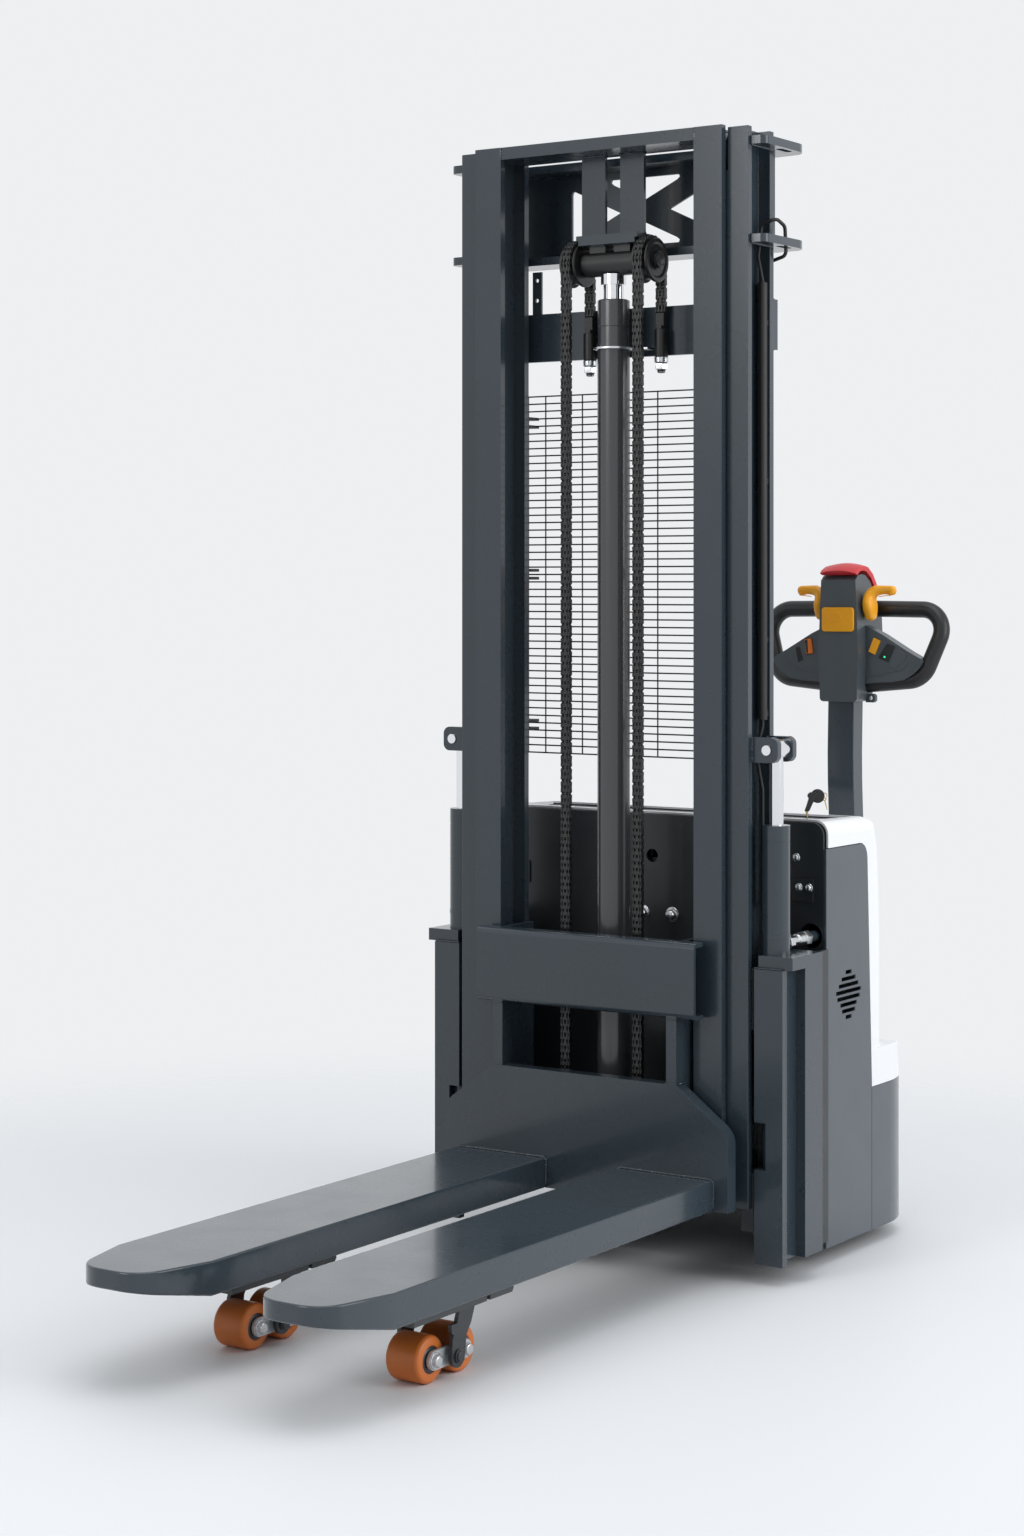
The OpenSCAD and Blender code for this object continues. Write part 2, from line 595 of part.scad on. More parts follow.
module bogie_left() bogie(-1);
module load_wheel(s, e) color(orange) at_heel() translate([s * wheel_cx, -bogie_y + e * bogie_span / 2, wheel_r]) difference() {
    rod_x(-wheel_w / 2, wheel_w / 2, 0, 0, wheel_r);
    rod_x(-wheel_w, wheel_w, 0, 0, axle_r + fit);
    for (k = [-1, 1]) difference() {
        rod_x(k * wheel_w / 2 - 3, k * wheel_w / 2 + 3, 0, 0, 26);
        rod_x(k * wheel_w / 2 - 4, k * wheel_w / 2 + 4, 0, 0, 16);
    }
}
module load_wheel_right_front() load_wheel(1, -1);
module load_wheel_right_rear() load_wheel(1, 1);
module load_wheel_left_front() load_wheel(-1, -1);
module load_wheel_left_rear() load_wheel(-1, 1);

// Chassis

col_z1 = 592;
module guide_column() {
    difference() {
        union() {
            span([337, 70, 38], [397, 88, col_z1 - 2]);
            span([387.5, 87, 50], [394.5, 195, col_z1]);
            span([394, 125, 50], [415.5, 195, col_z1]);
            span([329, 160, 50], [388, 168, col_z1]);
            span([343, 75, col_z1 - 1], [415.5, 195, 615]);
            span([334, 87, 50], [388, 168, 58]);
            for (z = [90, 470]) {
                span([329, 82, z], [333, 168, z + 118]);
                span([329, 82, z], [338, 88, z + 118]);
            }
        }
        rod_z(side_x, side_y, 58.1, 616, side_barrel_r + 0.4);
        span([336, 69, 215], [361, 89, 303]);
    }
    for (z = [94, 474]) span([outer_web_out + 1.5, outer_y + beam_flange + 1.5, z], [329 - seat_gap, rear_y - beam_flange - 1.5, z + 110]);
}
module guide_column_right() color(paint) at_heel() guide_column();
module guide_column_left() color(paint) at_heel() mirror([1, 0, 0]) guide_column();

// Plan of the body with rounded rear corners
module body_plan(y0, y1, r, x) polygon(concat([[-x, y0], [x, y0]], arc([x - r, y1 - r], r, 0, 90, 12),
    arc([-x + r, y1 - r], r, 90, 180, 12)));
deck_z = 236;
castor_x = -213;
castor_y = 590;
module chassis_frame() color(dark) at_heel() {
    span([-380, 190, 100], [380, bulk_y - seat_gap, 186]);
    both() {
        span([330, bulk_y - 1, 100], [366, 470, 186]);
        span([358, bulk_y + 9, 100], [366, 470, deck_z + 1]);
        for (z = [[47, 138], [264, 359], [515, 608]]) span([383, 195 + seat_gap, z[0]], [398, 203, z[1]]);
        span([376, 195 + seat_gap, 47], [386, bulk_y - seat_gap, 608]);
    }
    difference() {
        translate([0, 0, deck_z]) linear_extrude(10) body_plan(bulk_y + 9, shroud_y - 9, shroud_r - 9, 366);
        rod_z(steer_x, steer_y, deck_z - 1, deck_z + 11, 70);
        rod_z(castor_x, castor_y, deck_z - 1, deck_z + 11, 10 + fit);
    }
    span([-350, bulk_y + 9, 540], [350, 466, 546]);
    both() span([344, bulk_y + 9, deck_z + 9], [350, 320, 541]);
}
module front_bulkhead() color(dark) at_heel() difference() {
    along_y(bulk_y, bulk_y + 8) {
        x = 374.8;
        polygon(concat([[-x, 190], [x, 190]], arc([x - 25, 850 - 25], 25, 0, 90, 6), arc([-x + 25, 850 - 25], 25, 90, 180, 6)));
    }
    rod_y(-10, bulk_y - 1, bulk_y + 9, 767, 13);
    both() rod_y(347, bulk_y - 1, bulk_y + 9, 631, 24);
}
module bulkhead_bolts() color(zinc) at_heel() {
    for (x = [-30, 37]) {
        rod_y(x, bulk_y - 12, bulk_y - seat_gap, 652, 13);
        rod_y(x, bulk_y - 16, bulk_y - 11, 652, 8);
    }
    both() {
        rod_y(316, bulk_y - 5, bulk_y - seat_gap, 781, 7);
        span([302, bulk_y - 3.2, 696], [354, bulk_y - seat_gap, 741]);
        for (x = [323, 345]) rod_y(x, bulk_y - 8, bulk_y - 3.1, 724, 6.5);
    }
}
module side_panels() color(paint) at_heel() both() difference() {
    along_x(body_x - 6, body_x) polygon(concat([[bulk_y + seat_gap, 31], [469, 31], [469, shroud_z], [449, 772]],
        arc([419, 770], 30, 5, 90, 5), [[bulk_y + seat_gap, 800]]));
    for (i = [0:7]) {
        half = [12, 29, 41, 52, 47, 34, 27, 12][i];
        z = 510 + (3.5 - i) * 12.5;
        span([body_x - 8, 370 - half, z - 3.5], [body_x + 2, 370 + half, z + 3.5]);
    }
}
// Front view of the cover with its round upper edges, inset by t
module cover_front(t) polygon(concat([[-body_x + t, 300], [body_x - t, 300]],
    arc([body_x - cover_edge, cover_z - cover_edge], cover_edge - t, 0, 90, 6),
    arc([cover_edge - body_x, cover_z - cover_edge], cover_edge - t, 90, 180, 6)));
// Side view of the cover above the flare and of the flare, inset by t
module cover_side(t) polygon(concat([[bulk_y + 8.3, shroud_z - 10], [bulk_y + 8.3, cover_z - t]],
    arc([482, cover_z - 58], 58 - t, 90, 12, 6), [[559 - t, 760], [594 - t, 388], [594 - t, shroud_z - 10]]));
module flare_side(t) polygon([[468, shroud_z + seat_gap], [shroud_y - 2 - t, shroud_z + seat_gap],
    [shroud_y - 4 - t, 352 - t], [600, 388 - t], [468, 388 - t]]);
module cover_solid(t) {
    intersection() {
        along_x(-body_x + t, body_x - t) cover_side(t);
        along_y(bulk_y, 620) cover_front(t);
        translate([0, 0, 300]) linear_extrude(600) body_plan(bulk_y + 8, 578 - t, cover_r - t, body_x - t);
    }
    intersection() {
        along_x(-body_x + t, body_x - t) flare_side(t);
        translate([0, 0, 300]) linear_extrude(200) body_plan(460, shroud_y - t, shroud_r - t, body_x - t);
    }
}
module top_cover() color(white) at_heel() difference() {
    cover_solid(0);
    difference() {
        translate([0, 0, -0.1]) cover_solid(cover_wall);
        rod_z(steer_x, steer_y, 384, 900, 108 + cover_wall);
        span([-356, 290, cover_z - 14], [356, 446, cover_z]);
    }
    span([-body_x - 1, bulk_y, 300], [body_x + 1, 468, shroud_z + seat_gap]);
    span([-body_x - 1, 460, 290], [body_x + 1, 760, shroud_z + seat_gap]);
    both() along_x(body_x - 7.5, body_x + 1) polygon(concat([[bulk_y, 300], [470.5, 300], [470.5, shroud_z], [450.5, 773]],
        arc([419, 770], 31.5, 5, 90, 5), [[bulk_y, 801.5]]));
    rod_z(steer_x, steer_y, 388, 900, 108);
    rod_z(steer_x, steer_y, 300, 400, 66);
    span([-352, 296, cover_z - 10], [352, 440, cover_z + 1]);
    translate([key_x, key_y, cover_z - 30]) cylinder(h = 50, r = 11);
}
module base_shroud() color(paint) at_heel() translate([0, 0, 30]) linear_extrude(shroud_z - 30) difference() {
    body_plan(469 + seat_gap, shroud_y, shroud_r, body_x);
    body_plan(460, shroud_y - 5, shroud_r - 5, body_x - 5);
}
module batteries() color(dark) at_heel() both() {
    span([4, 292, 546.3], [336, 464, 762]);
    for (x = [40, 290]) rod_z(x, 325, 761, 776, 9);
}
module hydraulic_power_pack() color(zinc) at_heel() {
    span([-330, 296, 246.3], [-150, 456, 400]);
    rod_z(-90, 370, 300, 470, 52);
    span([-149.5, 320, 260], [-30, 420, 300.5]);
    span([-149.5, 350, 300], [-139, 400, 330]);
    rod_z(-200, 330, 399, 425, 16);
}
module motor_controller() color(dark) at_heel() {
    span([40, 292, 300], [250, 350, 500]);
    for (i = [0:8]) span([50 + i * 22, 349, 310], [56 + i * 22, 368, 490]);
    span([30, bulk_y + 8 + seat_gap, 290], [260, 292.5, 510]);
}
key_x = 318;
key_y = 318;
module key_switch() color(black) at_heel() translate([key_x, key_y, cover_z - 10]) difference() {
    union() {
        translate([0, 0, -22]) cylinder(h = 24, r = 10.6);
        cylinder(h = 4, r = 14);
    }
    translate([0, 0, -20]) cylinder(h = 40, r = 4.2);
}
module key() color(black) at_heel() translate([key_x, key_y, cover_z - 10]) {
    translate([0, 0, -16]) cylinder(h = 40, r = 4);
    span([-6, -2.5, 8], [6, 2.5, 42]);
    rod_y(0, -3.5, 3.5, 52, 14);
}

// Drive unit and castor

module drive_unit() color(dark) at_heel() translate([steer_x, steer_y, 0]) {
    rod_z(0, 0, 221, deck_z - 0.5, 75);
    span([-85, -45, 50], [-42, 45, 222]);
    rod_z(0, 0, deck_z - 1, 378, 62);
    rod_x(-60, drive_w / 2 - 4, 0, drive_r, 15);
}
module drive_wheel() color(dark) at_heel() translate([steer_x, steer_y, drive_r]) difference() {
    rod_x(-drive_w / 2, drive_w / 2, 0, 0, drive_r);
    rod_x(-drive_w, drive_w, 0, 0, 15 + fit);
    for (k = [-1, 1]) difference() {
        rod_x(k * drive_w / 2 - 8, k * drive_w / 2 + 8, 0, 0, 78);
        rod_x(k * drive_w / 2 - 9, k * drive_w / 2 + 9, 0, 0, 32);
    }
}
base_half = 36;
module tiller_base() color(dark) at_heel() translate([steer_x, 0, 0]) {
    rod_z(0, steer_y, 378.2, 393, 58);
    difference() {
        for (k = [-1, 1]) along_x(k * (base_half + 4) - 4, k * (base_half + 4) + 4) {
            polygon([[steer_y - 30, 392], [steer_y + 50, 392], [tiller_y + 20, tiller_z - 4], [tiller_y + 20, tiller_z],
                [tiller_y - 20, tiller_z], [steer_y - 30, 415]]);
            translate([tiller_y, tiller_z]) circle(20);
        }
        rod_x(-60, 60, tiller_y, tiller_z, 10 + fit);
    }
}
castor_r = 62.5;
castor_trail = 35;
module castor_fork() color(zinc) at_heel() translate([castor_x, castor_y, 0]) {
    rod_z(0, 0, 228, deck_z - 0.5, 42);
    rod_z(0, 0, deck_z - 2, deck_z + 20, 10);
    for (k = [-1, 1]) along_x(k * 30 - 4, k * 30 + 4) {
        polygon([[-28, 229], [28, 229], [castor_trail + 16, castor_r], [castor_trail - 16, castor_r]]);
        translate([castor_trail, castor_r]) circle(16);
    }
    rod_x(-38, 38, castor_trail, castor_r, 8);
}
module castor_wheel() color(dark) at_heel() translate([castor_x, castor_y + castor_trail, castor_r]) difference() {
    rod_x(-22, 22, 0, 0, castor_r);
    rod_x(-30, 30, 0, 0, 8 + fit);
    for (k = [-1, 1]) difference() {
        rod_x(k * 22 - 4, k * 22 + 4, 0, 0, 45);
        rod_x(k * 22 - 5, k * 22 + 5, 0, 0, 18);
    }
}

// Tiller

arm_y = 681;
belly_tilt = 53.13;
arm_top = 1090;
head_z0 = 1067;
head_z1 = 1332;
// Axis of the travel levers
lever_y = 688;
lever_z = 1266;
// Side view of the tiller arm
arm_line = [[tiller_y, tiller_z], [arm_y + 9, 640], [arm_y + 7, 780], [arm_y, 900], [arm_y - 1, 960], [arm_y + 3, arm_top]];
module tiller_arm() color(paint) at_heel() translate([steer_x, 0, 0]) {
    difference() {
        along_x(-arm_w / 2, arm_w / 2) {
            polygon(concat([for (p = arm_line) p - [arm_d / 2, 0]], [for (i = [len(arm_line) - 1:-1:0]) arm_line[i] + [arm_d / 2, 0]]));
            translate([tiller_y, tiller_z]) circle(arm_d / 2);
        }
        w = arm_d / 2 - 4;
        inner = [for (i = [1:len(arm_line) - 1]) arm_line[i]];
        along_x(4 - arm_w / 2, arm_w / 2 - 4) polygon(concat([for (p = inner) p - [w, 0]],
            [for (i = [len(inner) - 1:-1:0]) inner[i] + [w, i == len(inner) - 1 ? 0.1 : 0]]));
        rod_x(-60, 60, tiller_y, tiller_z, 10 + clear);
    }
    rod_x(-base_half - 10, base_half + 10, tiller_y, tiller_z, 10);
}
module head_front() {
    polygon(concat(arc([35, head_z0 + 8], 8, -90, 0, 3), [[43, 1101], [46, 1167], [43, 1246], [39, head_z1], [-39, head_z1],
        [-43, 1246], [-46, 1167], [-43, 1101]], arc([-35, head_z0 + 8], 8, 180, 270, 3)));
}
// Side view of the middle of the head
module head_side() polygon([[head_y, head_z0], [head_y, 1318], [662, 1328], [680, 1331], [697, 1328], [717, 1315], [732, 1294],
    [745, 1274], [762, 1247], [765, 1238], [765, 1206], [760, 1196], [738, 1176], [722, 1158], [722, head_z0]]);
// Front view of a wing
module wing_front() polygon([[30, 1231], [81, 1207], [141, 1172], [168, 1158], [172, 1150], [165, 1138], [152, 1125],
    [132, 1113], [104, 1108], [77, 1107], [30, 1102]]);
// Places in a wing's front face where a switch rocks, with lean
lift_at = [66, 1182, 23];
speed_at = [-86, 1180, -8];
module at_rocker(p) translate([p[0], wing_y, p[1]]) rotate([0, p[2], 0]) children();
module tiller_head() color(paint) at_heel() translate([steer_x, 0, 0]) difference() {
    union() {
        intersection() {
            along_y(head_y, 770) head_front();
            along_x(-60, 60) head_side();
        }
        both() along_y(wing_y, wing_y + 28) wing_front();
    }
    along_x(-arm_w / 2 - 0.2, arm_w / 2 + 0.2) polygon([[arm_y - arm_d / 2 - 1, head_z0 - 1], [arm_y + arm_d / 2 + 4, head_z0 - 1],
        [arm_y + arm_d / 2 + 4, arm_top + 0.2], [arm_y - arm_d / 2 - 1, arm_top + 0.2]]);
    translate([0, head_y + 6, 1237]) rotate([90, 0, 0]) linear_extrude(20, center = true) soft_square(75, 52, 8);
    for (p = [lift_at, speed_at]) at_rocker(p) span([-8.6, -1, -16.6], [8.6, 8, 16.6]);
    both() tube(grip_path, grip_r + 0.3, 46);
    for (x = [-20, 20]) belly_stem(x, 49, 7 + fit);
    rod_x(-50, 50, lever_y, lever_z, 6 + fit);
}
corner_x = grip_half - grip_r + 19;
grip_path = [[30, grip_y, grip_z], [corner_x, grip_y, grip_z - 2], [corner_x - 50, grip_low_y, grip_low_z + 13],
    [30, grip_low_y, grip_low_z]];
module handle_loop() color(black) at_heel() translate([steer_x, 0, 0]) {
    both() tube(grip_path, grip_r, 46);
}
// Round shape along the belly button's travel
module belly_stem(x, length, r) translate([x, 694, 1341]) rotate([90 + belly_tilt, 0, 0]) cylinder(h = length, r = r);
module belly_button() color(red) at_heel() translate([steer_x, 0, 0]) {
    outer = [[646, 1332], [655, 1339], [672, 1346], [690, 1348], [706, 1345], [728, 1331], [744, 1312], [752, 1298]];
    along_x(-41, 41) polygon(concat(outer, [for (i = [len(outer) - 1:-1:0])
        outer[i] - [i < 2 ? -2 : 3 + i, i < 1 ? 0 : 11 - i / 2]]));
    for (x = [-20, 20]) belly_stem(x, 42, 7);
}
module horn_button() color(yellow) at_heel() translate([steer_x, head_y + 2, 1237]) rotate([90, 0, 0])
    translate([0, 0, -6]) linear_extrude(12) soft_square(73, 50, 7);
// Front view of a travel lever with its thumb tab
module lever_front() {
    polygon(concat(arc([57, 1248], 13.5, -90, -10, 4), [[69, 1264], [71, 1277], [78, 1284], [104, 1286]], arc([103, 1296], 10, -60, 90, 6),
        [[80, 1307], [52, 1310], [46, 1304], [44.8, 1290], [44.8, 1240]]));
}
module butterfly_levers() color(yellow) at_heel() translate([steer_x, 0, 0]) {
    both() intersection() {
        along_y(lever_y - 20, lever_y + 16) lever_front();
        along_x(44, 120) {
            translate([lever_y + 2, 1248]) circle(14);
            polygon([[lever_y - 12, 1246], [lever_y + 16, 1248], [lever_y + 14, 1270], [lever_y + 6, 1285], [lever_y + 8, 1312],
                [lever_y - 6, 1312], [lever_y - 8, 1285]]);
        }
    }
    rod_x(-46, 46, lever_y, lever_z, 6);
}
module rocker(p) at_heel() translate([steer_x, 0, 0]) at_rocker(p) {
    span([-8, -3, -15.5], [8, 2.5, 15.5]);
    rod_x(-8, 8, 2, 0, 3, $fn = 24);
}
module lift_rocker() color(yellow) rocker(lift_at);
module speed_rocker() color(orange) rocker(speed_at);

chassis_frame();
front_bulkhead();
guide_column_right();
guide_column_left();
straddle_leg_right();
straddle_leg_left();
side_barrels();
side_panels();
top_cover();
base_shroud();
batteries();
hydraulic_power_pack();
motor_controller();
key_switch();
bulkhead_bolts();
bogie_right();
bogie_left();
load_wheel_right_front();
load_wheel_right_rear();
load_wheel_left_front();
load_wheel_left_rear();
drive_unit();
tiller_base();
drive_wheel();
castor_fork();
castor_wheel();
tiller_arm();
tiller_head();
handle_loop();
belly_button();
horn_button();
butterfly_levers();
lift_rocker();
speed_rocker();
key();
outer_column_right();
outer_column_left();
upper_cross_frame();
outer_crossbars();
mesh_guard();
chain_anchors();
lift_barrel();
cylinder_clamp();
side_rods();
clevis_brackets();
mast_cable();
chain_rear_strands();
top_rollers();
inner_mast_frame();
lift_rod();
chain_front_strands();
chain_wraps();
bottom_rollers();
chain_wheels();
carriage_frame();
fork_right();
fork_left();
carriage_rollers_upper();
carriage_rollers_lower();
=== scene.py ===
import bpy
import bmesh
import json
import math
import random
from mathutils import Matrix, Vector

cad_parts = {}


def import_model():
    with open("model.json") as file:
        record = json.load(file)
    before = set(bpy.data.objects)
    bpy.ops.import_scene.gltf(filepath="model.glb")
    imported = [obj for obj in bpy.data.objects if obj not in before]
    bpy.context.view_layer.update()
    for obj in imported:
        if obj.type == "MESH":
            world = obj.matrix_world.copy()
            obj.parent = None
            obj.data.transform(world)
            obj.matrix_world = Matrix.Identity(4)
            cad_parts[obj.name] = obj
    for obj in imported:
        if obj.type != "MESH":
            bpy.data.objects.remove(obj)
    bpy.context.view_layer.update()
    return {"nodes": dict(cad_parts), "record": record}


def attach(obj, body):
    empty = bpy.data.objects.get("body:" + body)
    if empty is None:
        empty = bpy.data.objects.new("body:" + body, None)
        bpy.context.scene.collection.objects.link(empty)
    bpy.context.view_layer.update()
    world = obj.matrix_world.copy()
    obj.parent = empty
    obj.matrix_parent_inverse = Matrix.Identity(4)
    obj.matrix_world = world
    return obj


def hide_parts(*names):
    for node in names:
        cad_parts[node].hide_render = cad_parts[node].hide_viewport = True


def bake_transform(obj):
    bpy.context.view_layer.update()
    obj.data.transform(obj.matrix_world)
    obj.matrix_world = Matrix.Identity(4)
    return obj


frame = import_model()
NODES = frame["nodes"]
BODY_OF = {n: b for b, ns in frame["record"]["behaviour"]["bodies"].items() for n in ns}
SLOT_OF = {s["node"]: s["material_slot"] for s in frame["record"]["subparts"]}
random.seed(7)

# Shapes are written in millimetres: x from the mast's middle plane, y from the heel plane of the forks and
# z from the floor. These two distances, in metres, lead from there to the origin of the frame.
HEEL = 0.1856
MID = 0.00617

# Places and sizes that several pieces share, in millimetres
SIDES = ((1, "right"), (-1, "left"))
CX = 82.0                      # middle of each lift chain
AXY, AXZ = 115.0, 1936.0       # axle of the chain wheels
CR = 43.5                      # path of a chain round its wheel
PITCH = 12.7                   # pitch of the chains
FOOT, HEADZ = 345.0, 1838.0    # lower ends of the front and the rear strands
WHEEL_X = 183.5                # middle of a load wheel
PIVOT_Y = -753.5               # pivot of the bogies
AXLE_STEP = 44                 # from that pivot to a load wheel's axle
WHEEL_R = 40
BULKHEAD_Y = 275.8             # front face of the bulkhead
LATCH_Y = 272.8                # front face of its latch plates
TILLER_X = 213                 # middle of the tiller
WING_Y = 685.75                # front face of the tiller's wings


def pt(x, y, z):
    """A point given in those millimetres, in metres in the frame."""
    return Vector((x / 1000 - MID, y / 1000 + HEEL, z / 1000))


# ---------------------------------------------------------------- materials

TONE = 0.06            # share by which a colour varies up and down
COAT_ROUGHNESS = 0.12
RELIEF = 0.0004        # depth of the relief, in metres


def shader(nt, kind, sockets=None, **settings):
    """A new shader node with its settings and the values of its input sockets."""
    n = nt.nodes.new(kind)
    for key, value in settings.items():
        setattr(n, key, value)
    for key, value in (sockets or {}).items():
        n.inputs[key].default_value = value
    return n


def material(name, color, rough, metal=0.0, coat=0.0, specular=0.5, grain=0.0, grain_scale=900.0,
             bump=0.0, bump_scale=700.0, stretch=(1, 1, 1), emission=None, strength=0.0):
    """A surface whose colour, roughness and relief vary with noise in object space.

    grain widens the spread of the colour, bump is the strength of the relief, and stretch scales the noise
    along each axis, as on a drawn bar.
    """
    m = bpy.data.materials.new(name)
    m.use_nodes = True
    nt = m.node_tree
    nt.nodes.clear()
    link = nt.links.new
    out = shader(nt, "ShaderNodeOutputMaterial")
    surface = shader(nt, "ShaderNodeBsdfPrincipled",
                     {"Metallic": metal, "Coat Weight": coat, "Coat Roughness": COAT_ROUGHNESS,
                      "Specular IOR Level": specular})
    link(surface.outputs[0], out.inputs[0])
    place = shader(nt, "ShaderNodeTexCoord")
    scaled = shader(nt, "ShaderNodeMapping", {"Scale": stretch})
    link(place.outputs["Object"], scaled.inputs["Vector"])

    def noise(scale, detail):
        n = shader(nt, "ShaderNodeTexNoise", {"Scale": scale, "Detail": detail, "Roughness": 0.55})
        link(scaled.outputs[0], n.inputs["Vector"])
        return n.outputs["Fac"]

    def spread(value, low, high):
        """The middle part of a noise, mapped to a range."""
        n = shader(nt, "ShaderNodeMapRange",
                   {"From Min": 0.3, "From Max": 0.7, "To Min": low, "To Max": high})
        link(value, n.inputs["Value"])
        return n.outputs[0]

    tone = shader(nt, "ShaderNodeMath", {1: 0.45}, operation="MULTIPLY_ADD")
    link(noise(grain_scale, 2), tone.inputs[0])
    link(spread(noise(3.1, 4), 0.05, 0.5), tone.inputs[2])
    dark = Vector(color) * (1 - TONE - grain)
    light = Vector(color) * (1 + TONE + grain)
    mix = shader(nt, "ShaderNodeMix", {"A": (*dark, 1), "B": (*[min(1, v) for v in light], 1)},
                 data_type="RGBA")
    link(tone.outputs[0], mix.inputs["Factor"])
    link(mix.outputs["Result"], surface.inputs["Base Color"])
    link(spread(noise(11, 5), max(0.02, rough * 0.86), min(1, rough * 1.14)), surface.inputs["Roughness"])
    if bump:
        relief = shader(nt, "ShaderNodeBump", {"Strength": bump, "Distance": RELIEF})
        link(noise(bump_scale, 2), relief.inputs["Height"])
        link(relief.outputs[0], surface.inputs["Normal"])
    if emission:
        surface.inputs["Emission Color"].default_value = (*emission, 1)
        surface.inputs["Emission Strength"].default_value = strength
    return m


PAINT = material("paint_slate", (0.029, 0.043, 0.055), 0.28, coat=0.62, specular=0.3, grain=0.02,
                 bump=0.05, bump_scale=420)
DARK = material("paint_dark", (0.020, 0.024, 0.028), 0.38, coat=0.15, bump=0.12, bump_scale=420)
SHELL = material("shell_slate", (0.039, 0.055, 0.070), 0.36, coat=0.65, grain=0.03,
                 bump=0.22, bump_scale=1500)
WHITE = material("cover_white", (0.82, 0.83, 0.84), 0.32, coat=0.2, grain=-0.05, bump=0.03, bump_scale=260)
# Dark grey that stands for shade: painted shade in the guide columns' recesses, and painted shade with a
# painted reflection of the mast on the cover's top.
PAINTED_SHADE = material("painted_shade_grey", (0.035, 0.040, 0.045), 0.6, grain=0.05, bump=0.35, bump_scale=1600)
ZINC = material("zinc", (0.66, 0.68, 0.70), 0.27, metal=1.0, grain=0.08, grain_scale=300,
                bump=0.1, bump_scale=900)
CHROME = material("chrome", (0.80, 0.81, 0.83), 0.08, metal=1.0, grain=0.02, grain_scale=1500,
                  stretch=(1, 1, 0.02))
BLACK = material("plastic_black", (0.010, 0.010, 0.011), 0.45, grain=0.1, bump=0.3, bump_scale=1700)
GRIP = material("grip_black", (0.006, 0.006, 0.007), 0.40, grain=0.12, bump=0.25, bump_scale=1300)
STEEL = material("chain_black", (0.0065, 0.0065, 0.007), 0.42, coat=0.1, grain=0.15, grain_scale=700,
                 bump=0.15)
CYL = material("barrel_black", (0.048, 0.050, 0.055), 0.26, coat=0.5, grain=0.05, grain_scale=600,
               bump=0.06, stretch=(1, 1, 0.05))
ORANGE = material("wheel_orange", (0.62, 0.165, 0.028), 0.42, grain=0.04, bump=0.12, bump_scale=350)
TYRE = material("wheel_tyre", (0.014, 0.014, 0.015), 0.62, grain=0.1, bump=0.5, bump_scale=900)
# Zinc of the bogie plates, made half matt and pale so that its own colour gives the bright look of a
# reflection of the pale floor: a painted reflection.
PAINTED_SHEEN_ZINC = material("zinc_plate_painted_sheen", (0.60, 0.62, 0.64), 0.38, metal=0.4, grain=0.06, grain_scale=300,
                bump=0.08, bump_scale=700)
HUB = material("wheel_hub", (0.10, 0.105, 0.11), 0.42, metal=0.85, grain=0.08, bump=0.2)
YELLOW = material("control_yellow", (0.93, 0.40, 0.008), 0.34, grain=0.02, bump=0.12, bump_scale=1600)
AMBER = material("rocker_orange", (0.86, 0.20, 0.018), 0.36, bump=0.12, bump_scale=1600)
RED = material("button_red", (0.60, 0.022, 0.030), 0.38, bump=0.2, bump_scale=1500)
HEADM = material("head_slate", (0.055, 0.069, 0.079), 0.40, coat=0.3, grain=0.04, bump=0.30, bump_scale=1500)
GLASS = material("display_black", (0.006, 0.007, 0.008), 0.28, coat=0.1)
GREEN = material("led_green", (0.0, 0.5, 0.12), 0.3, emission=(0.02, 0.85, 0.25), strength=1.6)
PINS = material("chain_pins", (0.07, 0.07, 0.073), 0.30, metal=0.6, grain=0.1, grain_scale=800)
BRASS = material("key_brass", (0.62, 0.45, 0.20), 0.25, metal=1.0, grain=0.05)
SLOTM = {"frame_grey": PAINT, "dark_steel": DARK, "cover_white": WHITE, "zinc": ZINC, "chrome": CHROME,
         "black_plastic": BLACK, "black_metal": STEEL, "wheel_orange": ORANGE, "wheel_black": TYRE,
         "control_yellow": YELLOW, "control_red": RED, "speed_orange": AMBER}


# ---------------------------------------------------------------- CAD nodes with rounded edges

def add(name, me, body, mat, angle=32):
    """An object on its body and in its slot, smooth but for the edges sharper than the angle."""
    o = bpy.data.objects.new(name, me)
    bpy.context.scene.collection.objects.link(o)
    if mat is not None:
        me.materials.clear()
        me.materials.append(mat)
    for p in me.polygons:
        p.use_smooth = True
    me.set_sharp_from_angle(angle=math.radians(angle))
    if body:
        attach(o, body)
    if body:
        o.modifiers.new("even_normals", "WEIGHTED_NORMAL").keep_sharp = True
    return o


def cad_bmesh(node):
    """The mesh of a CAD node, with its flat faces made whole again."""
    me = NODES[node].data.copy()
    if "custom_normal" in me.attributes:
        me.attributes.remove(me.attributes["custom_normal"])
    bm = bmesh.new()
    bm.from_mesh(me)
    bmesh.ops.remove_doubles(bm, verts=bm.verts, dist=3e-6)
    bmesh.ops.dissolve_limit(bm, angle_limit=math.radians(0.7), verts=bm.verts, edges=bm.edges)
    bpy.data.meshes.remove(me)
    return bm


def soften(bm, width, segments, angle):
    """Round the edges sharper than an angle, by a width in millimetres."""
    edges = [e for e in bm.edges if len(e.link_faces) == 2 and e.calc_face_angle(0) > math.radians(angle)]
    if edges and width > 0:
        bmesh.ops.bevel(bm, geom=edges, offset=width / 1000, offset_type="OFFSET", segments=segments,
                        profile=0.5, affect="EDGES", clamp_overlap=True)


def stand_in(node, name, bm, mat, angle=32):
    """The object that a reworked mesh of a CAD node makes, in that node's place."""
    me = bpy.data.meshes.new(name)
    bm.to_mesh(me)
    bm.free()
    o = add(name, me, BODY_OF[node], mat, angle)
    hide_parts(node)


